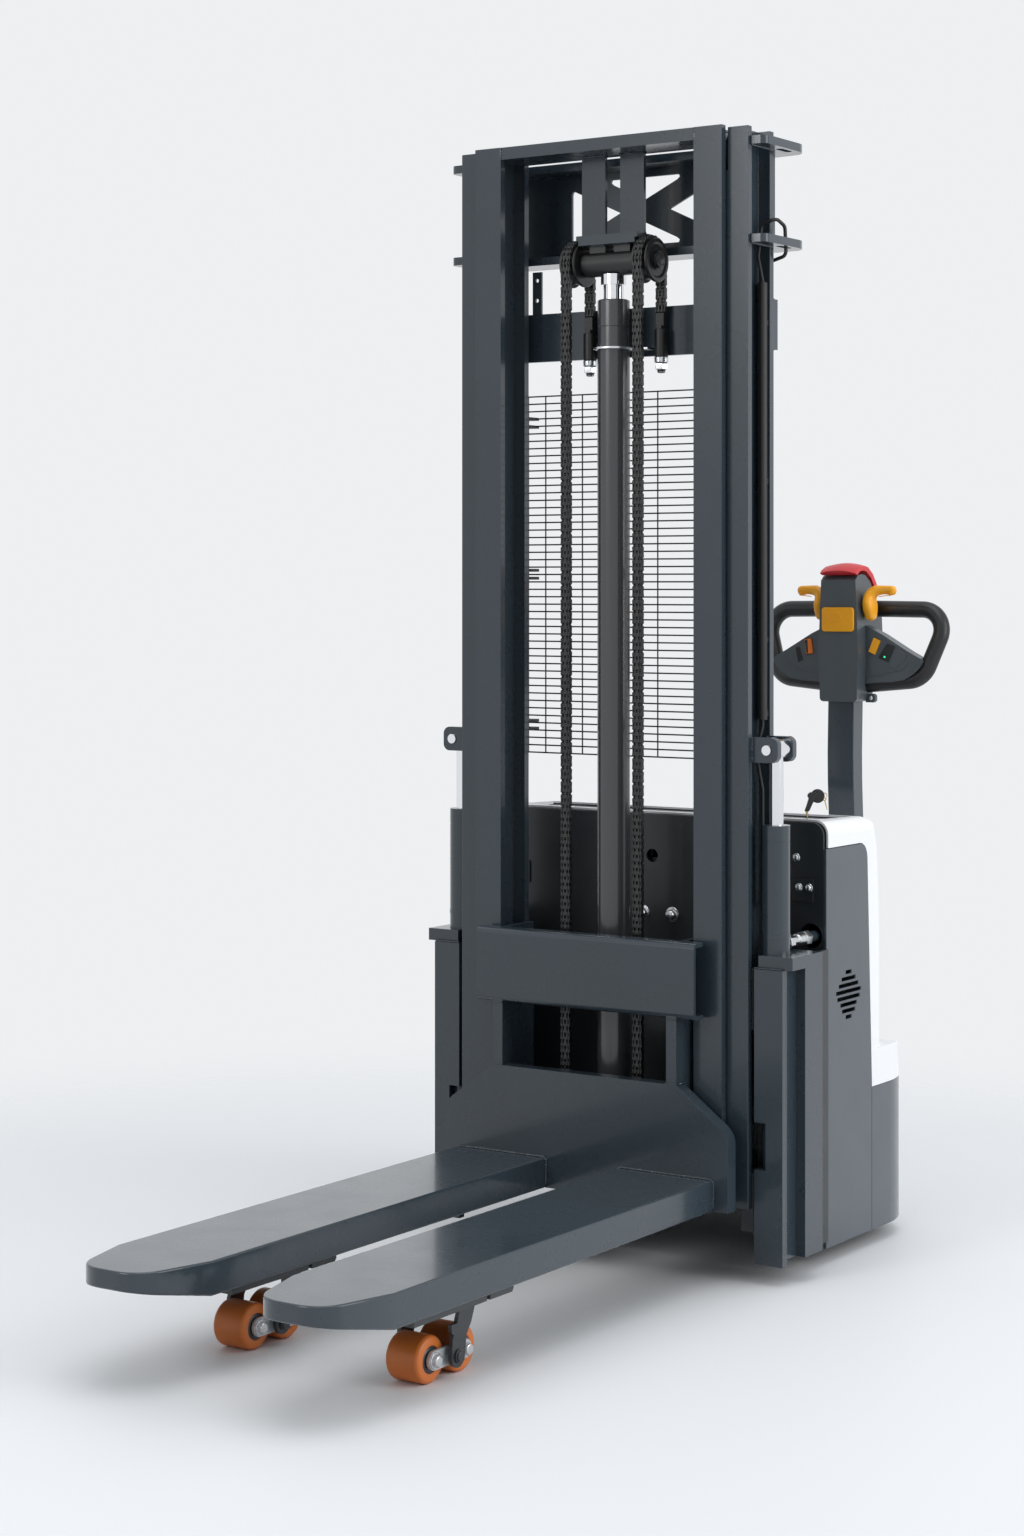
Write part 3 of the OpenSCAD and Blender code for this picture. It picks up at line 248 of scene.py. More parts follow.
# Material, width of the rounding in millimetres and its segments
LOOK = {
    "fork_right": (PAINT, 6.0, 4), "fork_left": (PAINT, 6.0, 4),
    "carriage_frame": (PAINT, 1.6, 3), "outer_column_right": (PAINT, 1.6, 3),
    "outer_column_left": (PAINT, 1.6, 3), "inner_mast_frame": (PAINT, 1.6, 3),
    "upper_cross_frame": (PAINT, 1.2, 2), "outer_crossbars": (PAINT, 1.2, 2),
    "guide_column_right": (PAINT, 1.6, 3), "guide_column_left": (PAINT, 1.6, 3),
    "straddle_leg_right": (DARK, 1.2, 2), "straddle_leg_left": (DARK, 1.2, 2),
    "side_barrels": (PAINT, 0.8, 2), "side_panels": (SHELL, 1.5, 3),
    "base_shroud": (SHELL, 2.0, 3), "front_bulkhead": (DARK, 1.0, 2), "chassis_frame": (DARK, 1.0, 2),
    "bogie_right": (PAINTED_SHEEN_ZINC, 0.8, 2), "bogie_left": (PAINTED_SHEEN_ZINC, 0.8, 2),
    "clevis_brackets": (PAINT, 1.0, 2), "side_rods": (CHROME, 0.6, 2), "lift_barrel": (CYL, 0.8, 2),
    "lift_rod": (CHROME, 0.5, 2), "cylinder_clamp": (ZINC, 0.5, 2), "mast_cable": (BLACK, 0.3, 1),
    "tiller_arm": (PAINT, 2.0, 3), "tiller_base": (DARK, 1.5, 3), "tiller_head": (HEADM, 2.5, 3),
    "handle_loop": (GRIP, 0, 1), "horn_button": (YELLOW, 1.2, 3),
    "lift_rocker": (YELLOW, 1.0, 2), "speed_rocker": (AMBER, 1.0, 2), "chain_anchors": (STEEL, 0.8, 2),
    "drive_wheel": (TYRE, 6.0, 3), "castor_wheel": (TYRE, 5.0, 3), "key_switch": (BLACK, 0.6, 2),
}
for n, o in NODES.items():
    o.data.materials.clear()
    o.data.materials.append(SLOTM[SLOT_OF[n]])
for n, (mat, width, segments) in LOOK.items():
    mesh = cad_bmesh(n)
    soften(mesh, width, segments, 38)
    stand_in(n, n + "_look", mesh, mat)


# ---------------------------------------------------------------- shape tools

class Shape:
    """Vertices in millimetres, faces and their material numbers, gathered for one object."""

    def __init__(self):
        self.v, self.f, self.m = [], [], []

    def put(self, verts, faces, mi=0):
        b = len(self.v)
        self.v += [Vector(p) for p in verts]
        self.f += [tuple(b + i for i in f) for f in faces]
        self.m += [mi] * len(faces)

    def lathe(self, profile, origin, axis, n=40, mi=0, turn=0.0):
        """A profile of (radius, height) points turned round an axis."""
        a = Vector(axis).normalized()
        u = a.orthogonal().normalized()
        w = a.cross(u)
        o = Vector(origin)
        verts, rings, faces = [], [], []
        for r, h in profile:
            if r < 1e-6:
                rings.append([len(verts)])
                verts.append(o + a * h)
            else:
                rings.append(list(range(len(verts), len(verts) + n)))
                for k in range(n):
                    t = 2 * math.pi * k / n + turn
                    verts.append(o + a * h + (u * math.cos(t) + w * math.sin(t)) * r)
        for p, q in zip(rings, rings[1:]):
            for k in range(n):
                k2 = (k + 1) % n
                if len(p) == 1 and len(q) == 1:
                    break
                if len(p) == 1:
                    faces.append((p[0], q[k2], q[k]))
                elif len(q) == 1:
                    faces.append((p[k], p[k2], q[0]))
                else:
                    faces.append((p[k], p[k2], q[k2], q[k]))
        self.put(verts, faces, mi)

    def prism(self, poly, axis, lo, hi, mi=0):
        """A polygon in the two other axes (in x, y, z order), drawn out along axis 0, 1 or 2."""
        n = len(poly)
        verts = []
        for h in (lo, hi):
            for p in poly:
                q = list(p)
                q.insert(axis, h)
                verts.append(q)
        self.put(verts, [tuple(range(n)), tuple(range(2 * n - 1, n - 1, -1))]
                 + [(i, i + n, (i + 1) % n + n, (i + 1) % n) for i in range(n)], mi)

    def tube(self, path, r, n=12, closed=False):
        """A round bar along a path; r is its radius, or a function that gives one for each vertex."""
        path = [Vector(p) for p in path]
        rad = r if callable(r) else (lambda i: r)
        count = len(path)
        up = None
        rings, verts = [], []
        for i, p in enumerate(path):
            a = path[(i - 1) % count] if closed or i else path[0]
            b = path[(i + 1) % count] if closed or i < count - 1 else path[-1]
            t = (b - a).normalized()
            if up is None:
                up = t.orthogonal().normalized()
            up = (up - t * up.dot(t)).normalized()
            side = t.cross(up)
            rings.append(len(verts))
            for k in range(n):
                c = 2 * math.pi * k / n
                verts.append(p + (up * math.cos(c) + side * math.sin(c)) * rad(i))
        faces = []
        for i in range(count if closed else count - 1):
            p, q = rings[i], rings[(i + 1) % count]
            faces += [(p + k, p + (k + 1) % n, q + (k + 1) % n, q + k) for k in range(n)]
        if not closed:
            faces += [tuple(rings[0] + k for k in range(n - 1, -1, -1)),
                      tuple(rings[-1] + k for k in range(n))]
        self.put(verts, faces)

    def make(self, name, body, mats, bevel=0.0, angle=32, matrix=None):
        me = bpy.data.meshes.new(name)
        points = [matrix @ p if matrix else p for p in self.v]
        me.from_pydata([pt(*p) for p in points], [], self.f)
        for m in mats:
            me.materials.append(m)
        me.polygons.foreach_set("material_index", self.m)
        bm = bmesh.new()
        bm.from_mesh(me)
        bmesh.ops.recalc_face_normals(bm, faces=bm.faces)
        soften(bm, bevel, 2, 40)
        bm.to_mesh(me)
        bm.free()
        return add(name, me, body, None, angle)


def dome_bolt(s, at, axis, r, h):
    """A washer with a domed head."""
    s.lathe([(0, 0), (r * 1.25, 0), (r * 1.3, h * 0.12), (r * 1.2, h * 0.24), (r, h * 0.26), (r, h * 0.5),
             (r * 0.93, h * 0.72), (r * 0.72, h * 0.9), (r * 0.38, h * 0.98), (0, h)], at, axis, 32)


def hex_bolt(s, at, axis, r, h, turn):
    """A hexagon head with a chamfered top on a washer."""
    s.lathe([(0, 0), (r * 1.3, 0), (r * 1.34, h * 0.08), (r * 1.34, h * 0.2), (r * 1.28, h * 0.26),
             (0, h * 0.26)], at, axis, 32)
    s.lathe([(r, h * 0.24), (r, h * 0.86), (r * 0.84, h), (0, h)], at, axis, 6, 0, turn)


def bead(s, path, r, step=1.6):
    """A weld bead with ripples along a route."""
    path = [Vector(p) for p in path]
    points = []
    for a, b in zip(path, path[1:]):
        k = max(1, int((b - a).length / step))
        points += [a + (b - a) * (i / k) for i in range(k)]
    points.append(path[-1])
    s.tube([p + Vector([random.uniform(-0.25, 0.25) for _ in range(3)]) for p in points],
           lambda i: r * (0.86 + 0.2 * math.sin(i * 1.9) + random.uniform(-0.08, 0.08)), 7)


def follow(table, at):
    """The value on the line through (place, value) points, level before the first and after the last."""
    value = table[0][1]
    for (a, fa), (b, fb) in zip(table, table[1:]):
        if at >= a:
            value = fa + (fb - fa) * min(1, (at - a) / (b - a))
    return value


# ---------------------------------------------------------------- lift chains

def plate_shape(length, r=5.7, waist=4.2):
    """Side outline of a chain plate with a waist, along z from 0 to length."""
    points = []
    for k in range(7):
        a = math.radians(200 + 140 * k / 6)
        points.append((r * math.cos(a), r * math.sin(a)))
    points.append((waist, length / 2))
    for k in range(7):
        a = math.radians(20 + 140 * k / 6)
        points.append((r * math.cos(a), length + r * math.sin(a)))
    points.append((-waist, length / 2))
    return points


def chain(s, centres, x):
    """Leaf chain with pins at the (y, z) centres: four plates to a link, then three, by turns."""
    for i, (c, d) in enumerate(zip(centres, centres[1:])):
        c, d = Vector(c), Vector(d)
        length = (d - c).length
        along = (d - c).normalized()
        across = Vector((along.y, -along.x))
        plate = [tuple(c + across * p[0] + along * p[1]) for p in plate_shape(length)]
        wide = i % 2 == 0
        for sg in (-1, 1):
            x0 = x + sg * (9.3 if wide else 7.4)
            s.prism(plate, 0, x0 - 0.95, x0 + 0.95)
            if wide:
                s.prism(plate, 0, x + sg * 3.9 - 1.8, x + sg * 3.9 + 1.8)
        if not wide:
            s.prism(plate, 0, x - 2.6, x + 2.6)
    for y, z in centres:
        s.lathe([(0, -7.4), (4.1, -7.4), (4.1, 7.4), (0, 7.4)], (x, y, z), (1, 0, 0), 12)
        for sg in (-1, 1):
            s.lathe([(2.6, sg * 10.1), (2.6, sg * 10.4), (1.9, sg * 10.55), (0, sg * 10.55)],
                    (x, y, z), (1, 0, 0), 10, 1)


def chains():
    """Each chain in three runs: up in front, over its wheel, and down to its anchor behind."""
    front = int((AXZ - FOOT - 0.5) / PITCH)
    front_step = (AXZ - FOOT - 0.5) / front
    wrap = 11
    rear = int((AXZ - HEADZ) / PITCH)
    rear_step = (AXZ - HEADZ - 4) / rear
    for sg, side in SIDES:
        s = Shape()
        chain(s, [(AXY - CR, FOOT + 2 + i * front_step) for i in range(front + 1)], sg * CX)
        o = s.make(f"chain_front_{side}", None, [STEEL, PINS])
        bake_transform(o)
        if sg > 0:
            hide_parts("chain_front_strands")
        s = Shape()
        chain(s, [(AXY - CR * math.cos(math.pi * i / wrap), AXZ + CR * math.sin(math.pi * i / wrap))
                  for i in range(wrap + 1)], sg * CX)
        o = s.make(f"chain_wrap_{side}", "inner_mast", [STEEL, PINS])
        if sg > 0:
            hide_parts("chain_wraps")
        s = Shape()
        chain(s, [(AXY + CR, HEADZ + 4 + i * rear_step) for i in range(rear + 1)], sg * CX)
        o = s.make(f"chain_rear_{side}", None, [STEEL, PINS])
        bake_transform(o)
        if sg > 0:
            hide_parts("chain_rear_strands")


# ---------------------------------------------------------------- wire guard

def guard():
    """Level wires on upright ones, held by three clips on each mast column."""
    top, bottom, half, pitch, wire = 1691.0, 968.0, 262.0, 15.0, 1.5
    rows = int((top - bottom) / pitch)
    foot = top - rows * pitch - 3
    s = Shape()
    for i in range(rows + 1):
        z = top - i * pitch - wire
        s.lathe([(0, -half - 2), (wire, -half - 2), (wire, half + 2), (0, half + 2)],
                (0, 205.5, z), (1, 0, 0), 8)
    for x in (-half, -220, -132, -44, 44, 132, 220, half):
        s.lathe([(0, foot), (wire, foot), (wire, top), (0, top)], (x, 208.4, 0), (0, 0, 1), 8)
    o = s.make("guard_wires", "outer_mast", [STEEL])
    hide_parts("mesh_guard")
    s = Shape()
    for sg in (-1, 1):
        for z in (1026, 1330, 1636):
            for x, y, low, high in ((238, 212, -11, -5), (238, 212, 5, 11), (263, 212, -11, 11),
                                    (238, 171, -11, 11)):
                s.prism([(sg * x, 165.2), (sg * 279, 165.2), (sg * 279, y), (sg * x, y)][::sg], 2,
                        z + low, z + high)
    s.make("guard_clips", "outer_mast", [BLACK], bevel=0.8)


# ---------------------------------------------------------------- load wheels

def load_wheels():
    half = 33.5
    hub_r, rim_r = 10.06, 22.5
    hub = [(hub_r, half - 3), (13, half - 2.6), (14.5, half - 0.8), (19.5, half - 0.8), (21, half - 2.0),
           (rim_r, half - 2.0)]
    tread = [(rim_r, half - 2.0), (23.4, half - 0.5), (25, half), (32.5, half), (36.2, half - 1.2),
             (38.8, half - 4), (WHEEL_R, half - 8.5)]
    for sg, sd in SIDES:
        for e, fr in ((-1, "front"), (1, "rear")):
            s = Shape()
            centre = (sg * WHEEL_X, PIVOT_Y + e * AXLE_STEP, WHEEL_R)
            for k in (-1, 1):
                s.lathe([(r, k * h) for r, h in hub][::-k], centre, (1, 0, 0), 64, 1)
                s.lathe([(r, k * h) for r, h in tread][::-k], centre, (1, 0, 0), 64, 0)
            s.lathe([(WHEEL_R, -half + 7), (WHEEL_R, half - 7)], centre, (1, 0, 0), 64, 0)
            s.lathe([(hub_r, half - 3), (hub_r, 3 - half)], centre, (1, 0, 0), 64, 1)
            w = s.make(f"wheel_{sd}_{fr}", f"{sd}_{fr}_load_wheel", [ORANGE, HUB])
            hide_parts(f"load_wheel_{sd}_{fr}")
    for sg, sd in SIDES:
        s = Shape()
        for k in (-1, 1):
            for e in (-1, 1):
                hex_bolt(s, (sg * WHEEL_X + k * 41.1, PIVOT_Y + e * AXLE_STEP, WHEEL_R), (k, 0, 0),
                         10.6, 9.5, 0.2 + 0.5 * e)
        s.make(f"axle_bolts_{sd}", f"{sd}_bogie", [ZINC], bevel=0.5)
        s = Shape()
        for k in (-1, 1):
            s.lathe([(0, 0), (11.5, 0), (11.5, 2.4), (9.4, 3.2), (9.4, 5.4), (7.8, 6.6), (0, 6.6)],
                    (sg * WHEEL_X + k * 57.2, PIVOT_Y, WHEEL_R), (k, 0, 0), 32)
        s.make(f"pivot_caps_{sd}", f"{sd}_bogie", [DARK])


# ---------------------------------------------------------------- chain wheels, gland, anchors

def lift_details():
    axle = (0, AXY, AXZ)
    s = Shape()
    for sg in (-1, 1):
        s.lathe([(12.55, 100), (20, 100), (20, 97.8), (21.5, 97), (31, 97), (33, 98.4), (35, 100), (41, 100),
                 (43, 98.6), (43, 95.4), (39, 93.6), (37, 93), (37, 72), (39, 71.4), (43, 69.4), (43, 66.4),
                 (41, 65), (12.55, 65)], axle, (sg, 0, 0), 72)
    w = s.make("chain_wheel_discs", "chain_sheaves", [STEEL])
    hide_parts("chain_wheels")
    s = Shape()
    for sg in (-1, 1):
        s.lathe([(0, 104.5), (17, 104.5), (17, 106.2), (15.6, 107.4), (9.5, 107.4), (8.8, 108.8), (5, 109.4),
                 (0, 109.4)], axle, (sg, 0, 0), 48)
        for k in range(6):
            a = math.pi / 3 * k + 0.4
            s.lathe([(0, 107), (1.5, 107), (1.5, 108.0), (0, 108.2)],
                    (0, AXY + 12.6 * math.cos(a), AXZ + 12.6 * math.sin(a)), (sg, 0, 0), 8)
    s.lathe([(17, -61), (24, -61), (25, -60), (25, 60), (24, 61), (17, 61)], axle, (1, 0, 0), 64)
    s.make("axle_caps", "inner_mast", [STEEL])
    s = Shape()
    s.lathe([(20.2, 1811.2), (31, 1811.2), (31.9, 1811.9), (31.9, 1812.6), (31, 1813.2)],
            (0, AXY, 0), (0, 0, 1), 64)
    s.lathe([(20.2, 1862), (22, 1864.2), (28.5, 1864.2), (31.4, 1862)], (0, AXY, 0), (0, 0, 1), 64)
    s.make("gland_rings", "outer_mast", [CYL])
    s = Shape()
    for sg in (-1, 1):
        for profile, n, mi, turn in (
                ([(0, 1721), (6.2, 1721), (8, 1723), (8, 1728)], 24, 1, 0.0),
                ([(8.05, 1727.5), (12, 1727.5), (13, 1729), (13, 1739.5), (8, 1739.5)], 6, 0, 0.35),
                ([(8.05, 1741), (13.2, 1741), (14.2, 1742.2), (14.2, 1751), (13.2, 1752.2), (8.1, 1752.2)],
                 12, 0, 0.0)):
            s.lathe(profile, (sg * CX, AXY + CR, 0), (0, 0, 1), n, mi, turn)
    s.make("anchor_nuts", "outer_mast", [ZINC, STEEL], bevel=0.4)


# ---------------------------------------------------------------- fasteners and hose fittings of the bulkhead

def bolts():
    s = Shape()
    for x in (-30, 37):
        s.lathe([(0, 0), (14.5, 0), (15, 0.8), (14, 1.8), (11, 2.2), (10.5, 3), (10.5, 8), (9.6, 11.5),
                 (7, 14.2), (3.6, 15.6), (0, 16)], (x, BULKHEAD_Y, 652), (0, -1, 0), 40)
    for sg in (-1, 1):
        for x, y, z in ((316, BULKHEAD_Y, 781), (323, LATCH_Y, 724), (345, LATCH_Y, 724)):
            dome_bolt(s, (sg * x, y, z), (0, -1, 0), 6.2, 6.5)
    o = s.make("bulkhead_nuts", "chassis", [ZINC])
    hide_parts("bulkhead_bolts")
    s = Shape()
    for sg in (-1, 1):
        lo, hi = sorted((sg * 302, sg * 354))
        s.prism([(lo, 696), (hi, 696), (hi, 741), (lo, 741)], 1, LATCH_Y, BULKHEAD_Y)
    s.make("latch_plates", "chassis", [DARK], bevel=0.8)
    s = Shape()
    for sg in (-1, 1):
        fitting = (sg * 352, 0, 631)
        s.lathe([(9.05, 146), (12, 146), (12.4, 147), (12.4, 160), (10.4, 162), (9.3, 164), (9.3, 206),
                 (11.4, 208), (11.4, 226), (12.6, 228), (12.6, 244), (10.8, 247), (10.8, 286)],
                fitting, (0, 1, 0), 32)
        s.lathe([(12.6, 168), (14, 169), (14, 184), (12.6, 186)], fitting, (0, 1, 0), 6, 0, 0.2)
        s.lathe([(12.6, 232), (15, 233), (15, 250), (12.6, 252)], fitting, (0, 1, 0), 6, 0, 0.5)
    s.make("hose_nuts", "chassis", [ZINC], bevel=0.4)


# ---------------------------------------------------------------- weld beads

def welds():
    s = Shape()
    for sg in (-1, 1):
        c = sg * 186
        bead(s, [(c - 104, -1.5, 150), (c - 104.5, -1.5, 197), (c - 99, -1.5, 202), (c + 99, -1.5, 202),
                 (c + 104.5, -1.5, 197), (c + 104, -1.5, 150)], 2.6)
        bead(s, [(sg * 185, 1, 371), (sg * 209, 1, 371)], 2.0)
        bead(s, [(sg * 209.5, 2, 371), (sg * 209.5, 34, 371)], 2.0)
        bead(s, [(sg * 186, 1.5, 492.5), (sg * 208, 1.5, 492.5)], 1.8)
    s.make("welds_carriage", "carriage", [PAINT])
    s = Shape()
    for sg in (-1, 1):
        for z in (2147, 1991):
            for y in (110, 120):
                bead(s, [(sg * 17, y, z), (sg * 71, y, z)], 2.2)
        bead(s, [(sg * 221, 47, 2147), (sg * 221, 47, 2171)], 2.2)
        bead(s, [(sg * 221, 60, 2172.5), (sg * 221, 142, 2172.5)], 2.2)
        bead(s, [(sg * 12, 99, 1970.4), (sg * 44, 99, 1970.4)], 2.0)
    s.make("welds_inner_mast", "inner_mast", [PAINT])
    s = Shape()
    for sg in (-1, 1):
        for z in (1950, 1966, 2134, 2150):
            bead(s, [(sg * 327.4, 76, z), (sg * 327.4, 160, z)], 1.8)
        for y in (78.5, 138.5):
            bead(s, [(sg * 327.6, y, 976), (sg * 327.6, y, 1022)], 1.8)
        for y, z in ((171.5, 1756), (171.5, 1852), (168, 196), (168, 300)):
            bead(s, [(sg * 268, y, z), (sg * 324, y, z)], 1.8)
    s.make("welds_outer_mast", "outer_mast", [PAINT])
    s = Shape()
    for sg in (-1, 1):
        bead(s, [(sg * 338, 70.5, 592), (sg * 396, 70.5, 592)], 1.8)
        bead(s, [(sg * 397, 74, 592), (sg * 397, 124, 592)], 1.8)
        for low, high in ((50, 136), (266, 357), (517, 606)):
            bead(s, [(sg * 398.5, 196, low), (sg * 398.5, 196, high)], 2.0)
    s.make("welds_guide_columns", "chassis", [PAINT])


# ---------------------------------------------------------------- tiller head controls

def on_head(points):
    """Points of the (x, z) plane, with x counted from the middle of the tiller."""
    return [(TILLER_X + x, z) for x, z in points]


def head_details():
    foot_y, horn_y, lever_y = 696, 645.8, 679.6
    s = Shape()
    s.prism(on_head(((94, 1188), (113, 1183), (97, 1149), (74, 1158))), 1, WING_Y - 1.2, WING_Y)
    s.prism(on_head(((-118, 1177), (-109, 1178), (-101, 1151), (-112, 1147))), 1, WING_Y - 1.4, WING_Y)
    s.make("head_panels", "tiller", [GLASS], bevel=0.5)
    s = Shape()
    s.prism(on_head(((116, 1175), (140, 1166), (134, 1153), (111, 1137), (98, 1142))), 1,
            WING_Y - 0.9, WING_Y)
    s.prism(on_head(((40, 1083), (58, 1083), (62, 1079), (62, 1069), (58, 1065), (40, 1065))), 1,
            foot_y, foot_y + 10)
    s.make("head_pads", "tiller", [HEADM], bevel=0.6)
    s = Shape()
    s.lathe([(0, 0), (1.9, 0), (1.9, 0.7), (1.2, 1.3), (0, 1.5)], (TILLER_X + 89, WING_Y - 1.1, 1160),
            (0, -1, 0), 20)
    s.make("head_lamp", "tiller", [GREEN])
    s = Shape()
    s.lathe([(0, 0), (4.2, 0), (4.2, 1.6), (3.2, 2.6), (0, 2.9)], (TILLER_X + 52, foot_y + 0.2, 1074),
            (0, -1, 0), 24)
    s.make("head_screws", "tiller", [ZINC])
    s = Shape()
    for line in (((-141, 1164), (-138, 1148), (-129, 1136), (-73, 1123), (-46, 1121)),
                 ((46, 1118), (73, 1121), (129, 1134), (140, 1146))):
        s.tube([(x, 686.0, z) for x, z in on_head(line)], 0.9, 8)
    s.make("head_ridges", "tiller", [HEADM])
    s = Shape()
    turns = [2 * math.pi * i / 40 for i in range(40)]
    s.tube([(TILLER_X - 6.5 + 14 * math.cos(a), horn_y, 1242 + 8 * math.sin(a)) for a in turns],
           0.7, 8, closed=True)
    s.make("horn_oval", "horn_cap", [YELLOW])
    s = Shape()
    for sg in (-1, 1):
        for z in (1268, 1273, 1278):
            rib = ((78, z + 16), (92, z + 18), (106, z + 19))
            s.tube([(TILLER_X + sg * x, lever_y, height) for x, height in rib], 0.8, 8)
    s.make("lever_ribs", "travel_levers", [YELLOW])


def rocker_face():
    """A thin dark plate on the left of the speed rocker, which leans as the rocker does."""
    lean = math.radians(8)
    q, c = math.sin(lean), math.cos(lean)
    half = [(-7, 14.4), (-1, 14.4), (-3.6, -14.4), (-7, -14.4)]
    s = Shape()
    s.prism([(TILLER_X - 86 + x * c - z * q, 1180 + x * q + z * c) for x, z in half], 1, 682.3, 683.4)
    s.make("rocker_face", BODY_OF["speed_rocker"], [GLASS], bevel=0.4)


def sweep(s, path, n=24, power=2.5, steps=5):
    """A rounded bar with domed ends: (x, y, z, half width across, half depth along y) at each point."""
    centres = [Vector(q[:3]) for q in path]
    rings = []
    for i, q in enumerate(path):
        t = (centres[min(i + 1, len(path) - 1)] - centres[max(i - 1, 0)]).normalized()
        rings.append((centres[i], Vector((t.x, 0, t.z)).normalized(), q[3], q[4]))
    dome = [(math.sin(a), max(0.02, math.cos(a))) for a in
            (math.pi / 2 * k / steps for k in range(1, steps + 1))]

    def end(ring, way):
        c, t, a, b = ring
        return [(c + t * (way * a) * d, t, a * f, b * f) for d, f in dome]

    def rounding(v):
        return math.copysign(abs(v) ** (2 / power), v)

    rings = end(rings[0], -1)[::-1] + rings + end(rings[-1], 1)
    verts, faces = [], []
    for c, t, a, b in rings:
        across, deep = Vector((-t.z, 0, t.x)), Vector((0, b, 0))
        for j in range(n):
            w = 2 * math.pi * j / n
            verts.append(c + across * a * rounding(math.cos(w)) + deep * rounding(math.sin(w)))
    for i in range(len(rings) - 1):
        for j in range(n):
            k = (j + 1) % n
            faces.append((i * n + j, i * n + k, (i + 1) * n + k, (i + 1) * n + j))
    faces.append(tuple(range(n))[::-1])
    faces.append(tuple(range((len(rings) - 1) * n, len(rings) * n)))
    s.put(verts, faces)


def levers():
    """The two thumb levers on their shaft."""
    path = [(57, 686, 1246, 11.5, 15), (57, 684, 1256, 12.4, 20), (56.6, 683, 1267, 12.2, 22),
            (56, 683, 1277, 11.4, 20), (57.5, 684, 1286, 11.6, 16), (62.5, 685, 1293, 11.6, 13),
            (71, 686, 1297, 11.0, 11), (82, 687, 1298, 9.4, 9), (93, 687.5, 1298, 9.0, 8.5),
            (101, 688, 1297, 10, 9), (104, 688, 1296.8, 10, 9)]
    s = Shape()
    for sg in (-1, 1):
        sweep(s, [(TILLER_X + sg * x, y, z, a, b) for x, y, z, a, b in path])
    s.tube([(TILLER_X - 46, 688, 1266), (TILLER_X + 46, 688, 1266)], 6, 20)
    o = s.make("thumb_levers", "travel_levers", [YELLOW], angle=50)
    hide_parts("butterfly_levers")


# ---------------------------------------------------------------- crowned cap and cover

def crowned(node, name, mat, planes, move, width, segments):
    """A CAD node with its sharp edges rounded, cut at planes, and its points moved by a rule."""
    bm = cad_bmesh(node)
    soften(bm, width, segments, 38)
    for co, no in planes:
        bmesh.ops.bisect_plane(bm, geom=bm.verts[:] + bm.edges[:] + bm.faces[:], dist=1e-6,
                               plane_co=co, plane_no=no)
    for v in bm.verts:
        v.co = move(v.co)
    stand_in(node, name, bm, mat, 40)


def belly_cap():
    """The belly button, with its upper skin crowned across its width."""
    middle, half, crown, skin = pt(TILLER_X, 0, 0).x, 0.041, 0.006, 0.008
    top = [(646, 1332), (655, 1339), (672, 1346), (690, 1348), (706, 1345), (728, 1331),
           (744, 1312), (752, 1298)]
    top = [(pt(0, y, 0).y, z / 1000) for y, z in top]

    def move(c):
        u = min(1, abs(c.x - middle) / half)
        w = min(1, max(0, (c.z - follow(top, c.y) + skin) / 0.006))
        return Vector((c.x, c.y, c.z + crown * w * (1 - u * u)))

    crowned("belly_button", "belly_crown", RED,
            [((middle + k * 0.0068, 0, 0), (1, 0, 0)) for k in range(-5, 6)], move, 3.0, 4)


def cover_shell():
    """The cover, whose rear corners lean forward as they rise and whose foot flares out over the skirt."""
    # (height, distance by which the rear face leans forward), in metres
    lean = [(0.60, 0), (0.66, 0.001), (0.721, 0.005), (0.783, 0.011), (0.805, 0.017), (0.826, 0.025),
            (0.838, 0.032), (0.847, 0.039), (0.855, 0.048)]
    start, full, flare = pt(0, 468, 0).y, pt(0, 520, 0).y, pt(0, 600, 0).y

    def move(c):
        y, z = c.y, c.z
        if c.y > start:
            y -= follow(lean, c.z) * min(1, (c.y - start) / (full - start))
        if c.z > 0.80 and c.y > start - 0.1:
            z -= 0.007 * min(1, (c.z - 0.80) / 0.055) * min(1, (c.y - start + 0.1) / 0.12)
        if c.z < 0.42 and c.y > flare:
            u = min(1, max(0, (c.z - 0.325) / 0.05))
            y -= 0.010 * u * u
            z -= 0.008 * u * min(1, (c.y - flare) / 0.03)
        return Vector((c.x, y, z))

    planes = [((0, start + (full - start) * k / 4, 0), (0, 1, 0)) for k in range(0, 5)]
    levels = (0.33, 0.34, 0.35, 0.36, 0.60, 0.66, 0.721, 0.752, 0.783, 0.794, 0.805, 0.816, 0.826, 0.832,
              0.838, 0.843, 0.847, 0.851)
    planes += [((0, 0, z), (0, 0, 1)) for z in levels]
    crowned("top_cover", "cover_shell", WHITE, planes, move, 1.5, 3)


# ---------------------------------------------------------------- key with its grip and ring

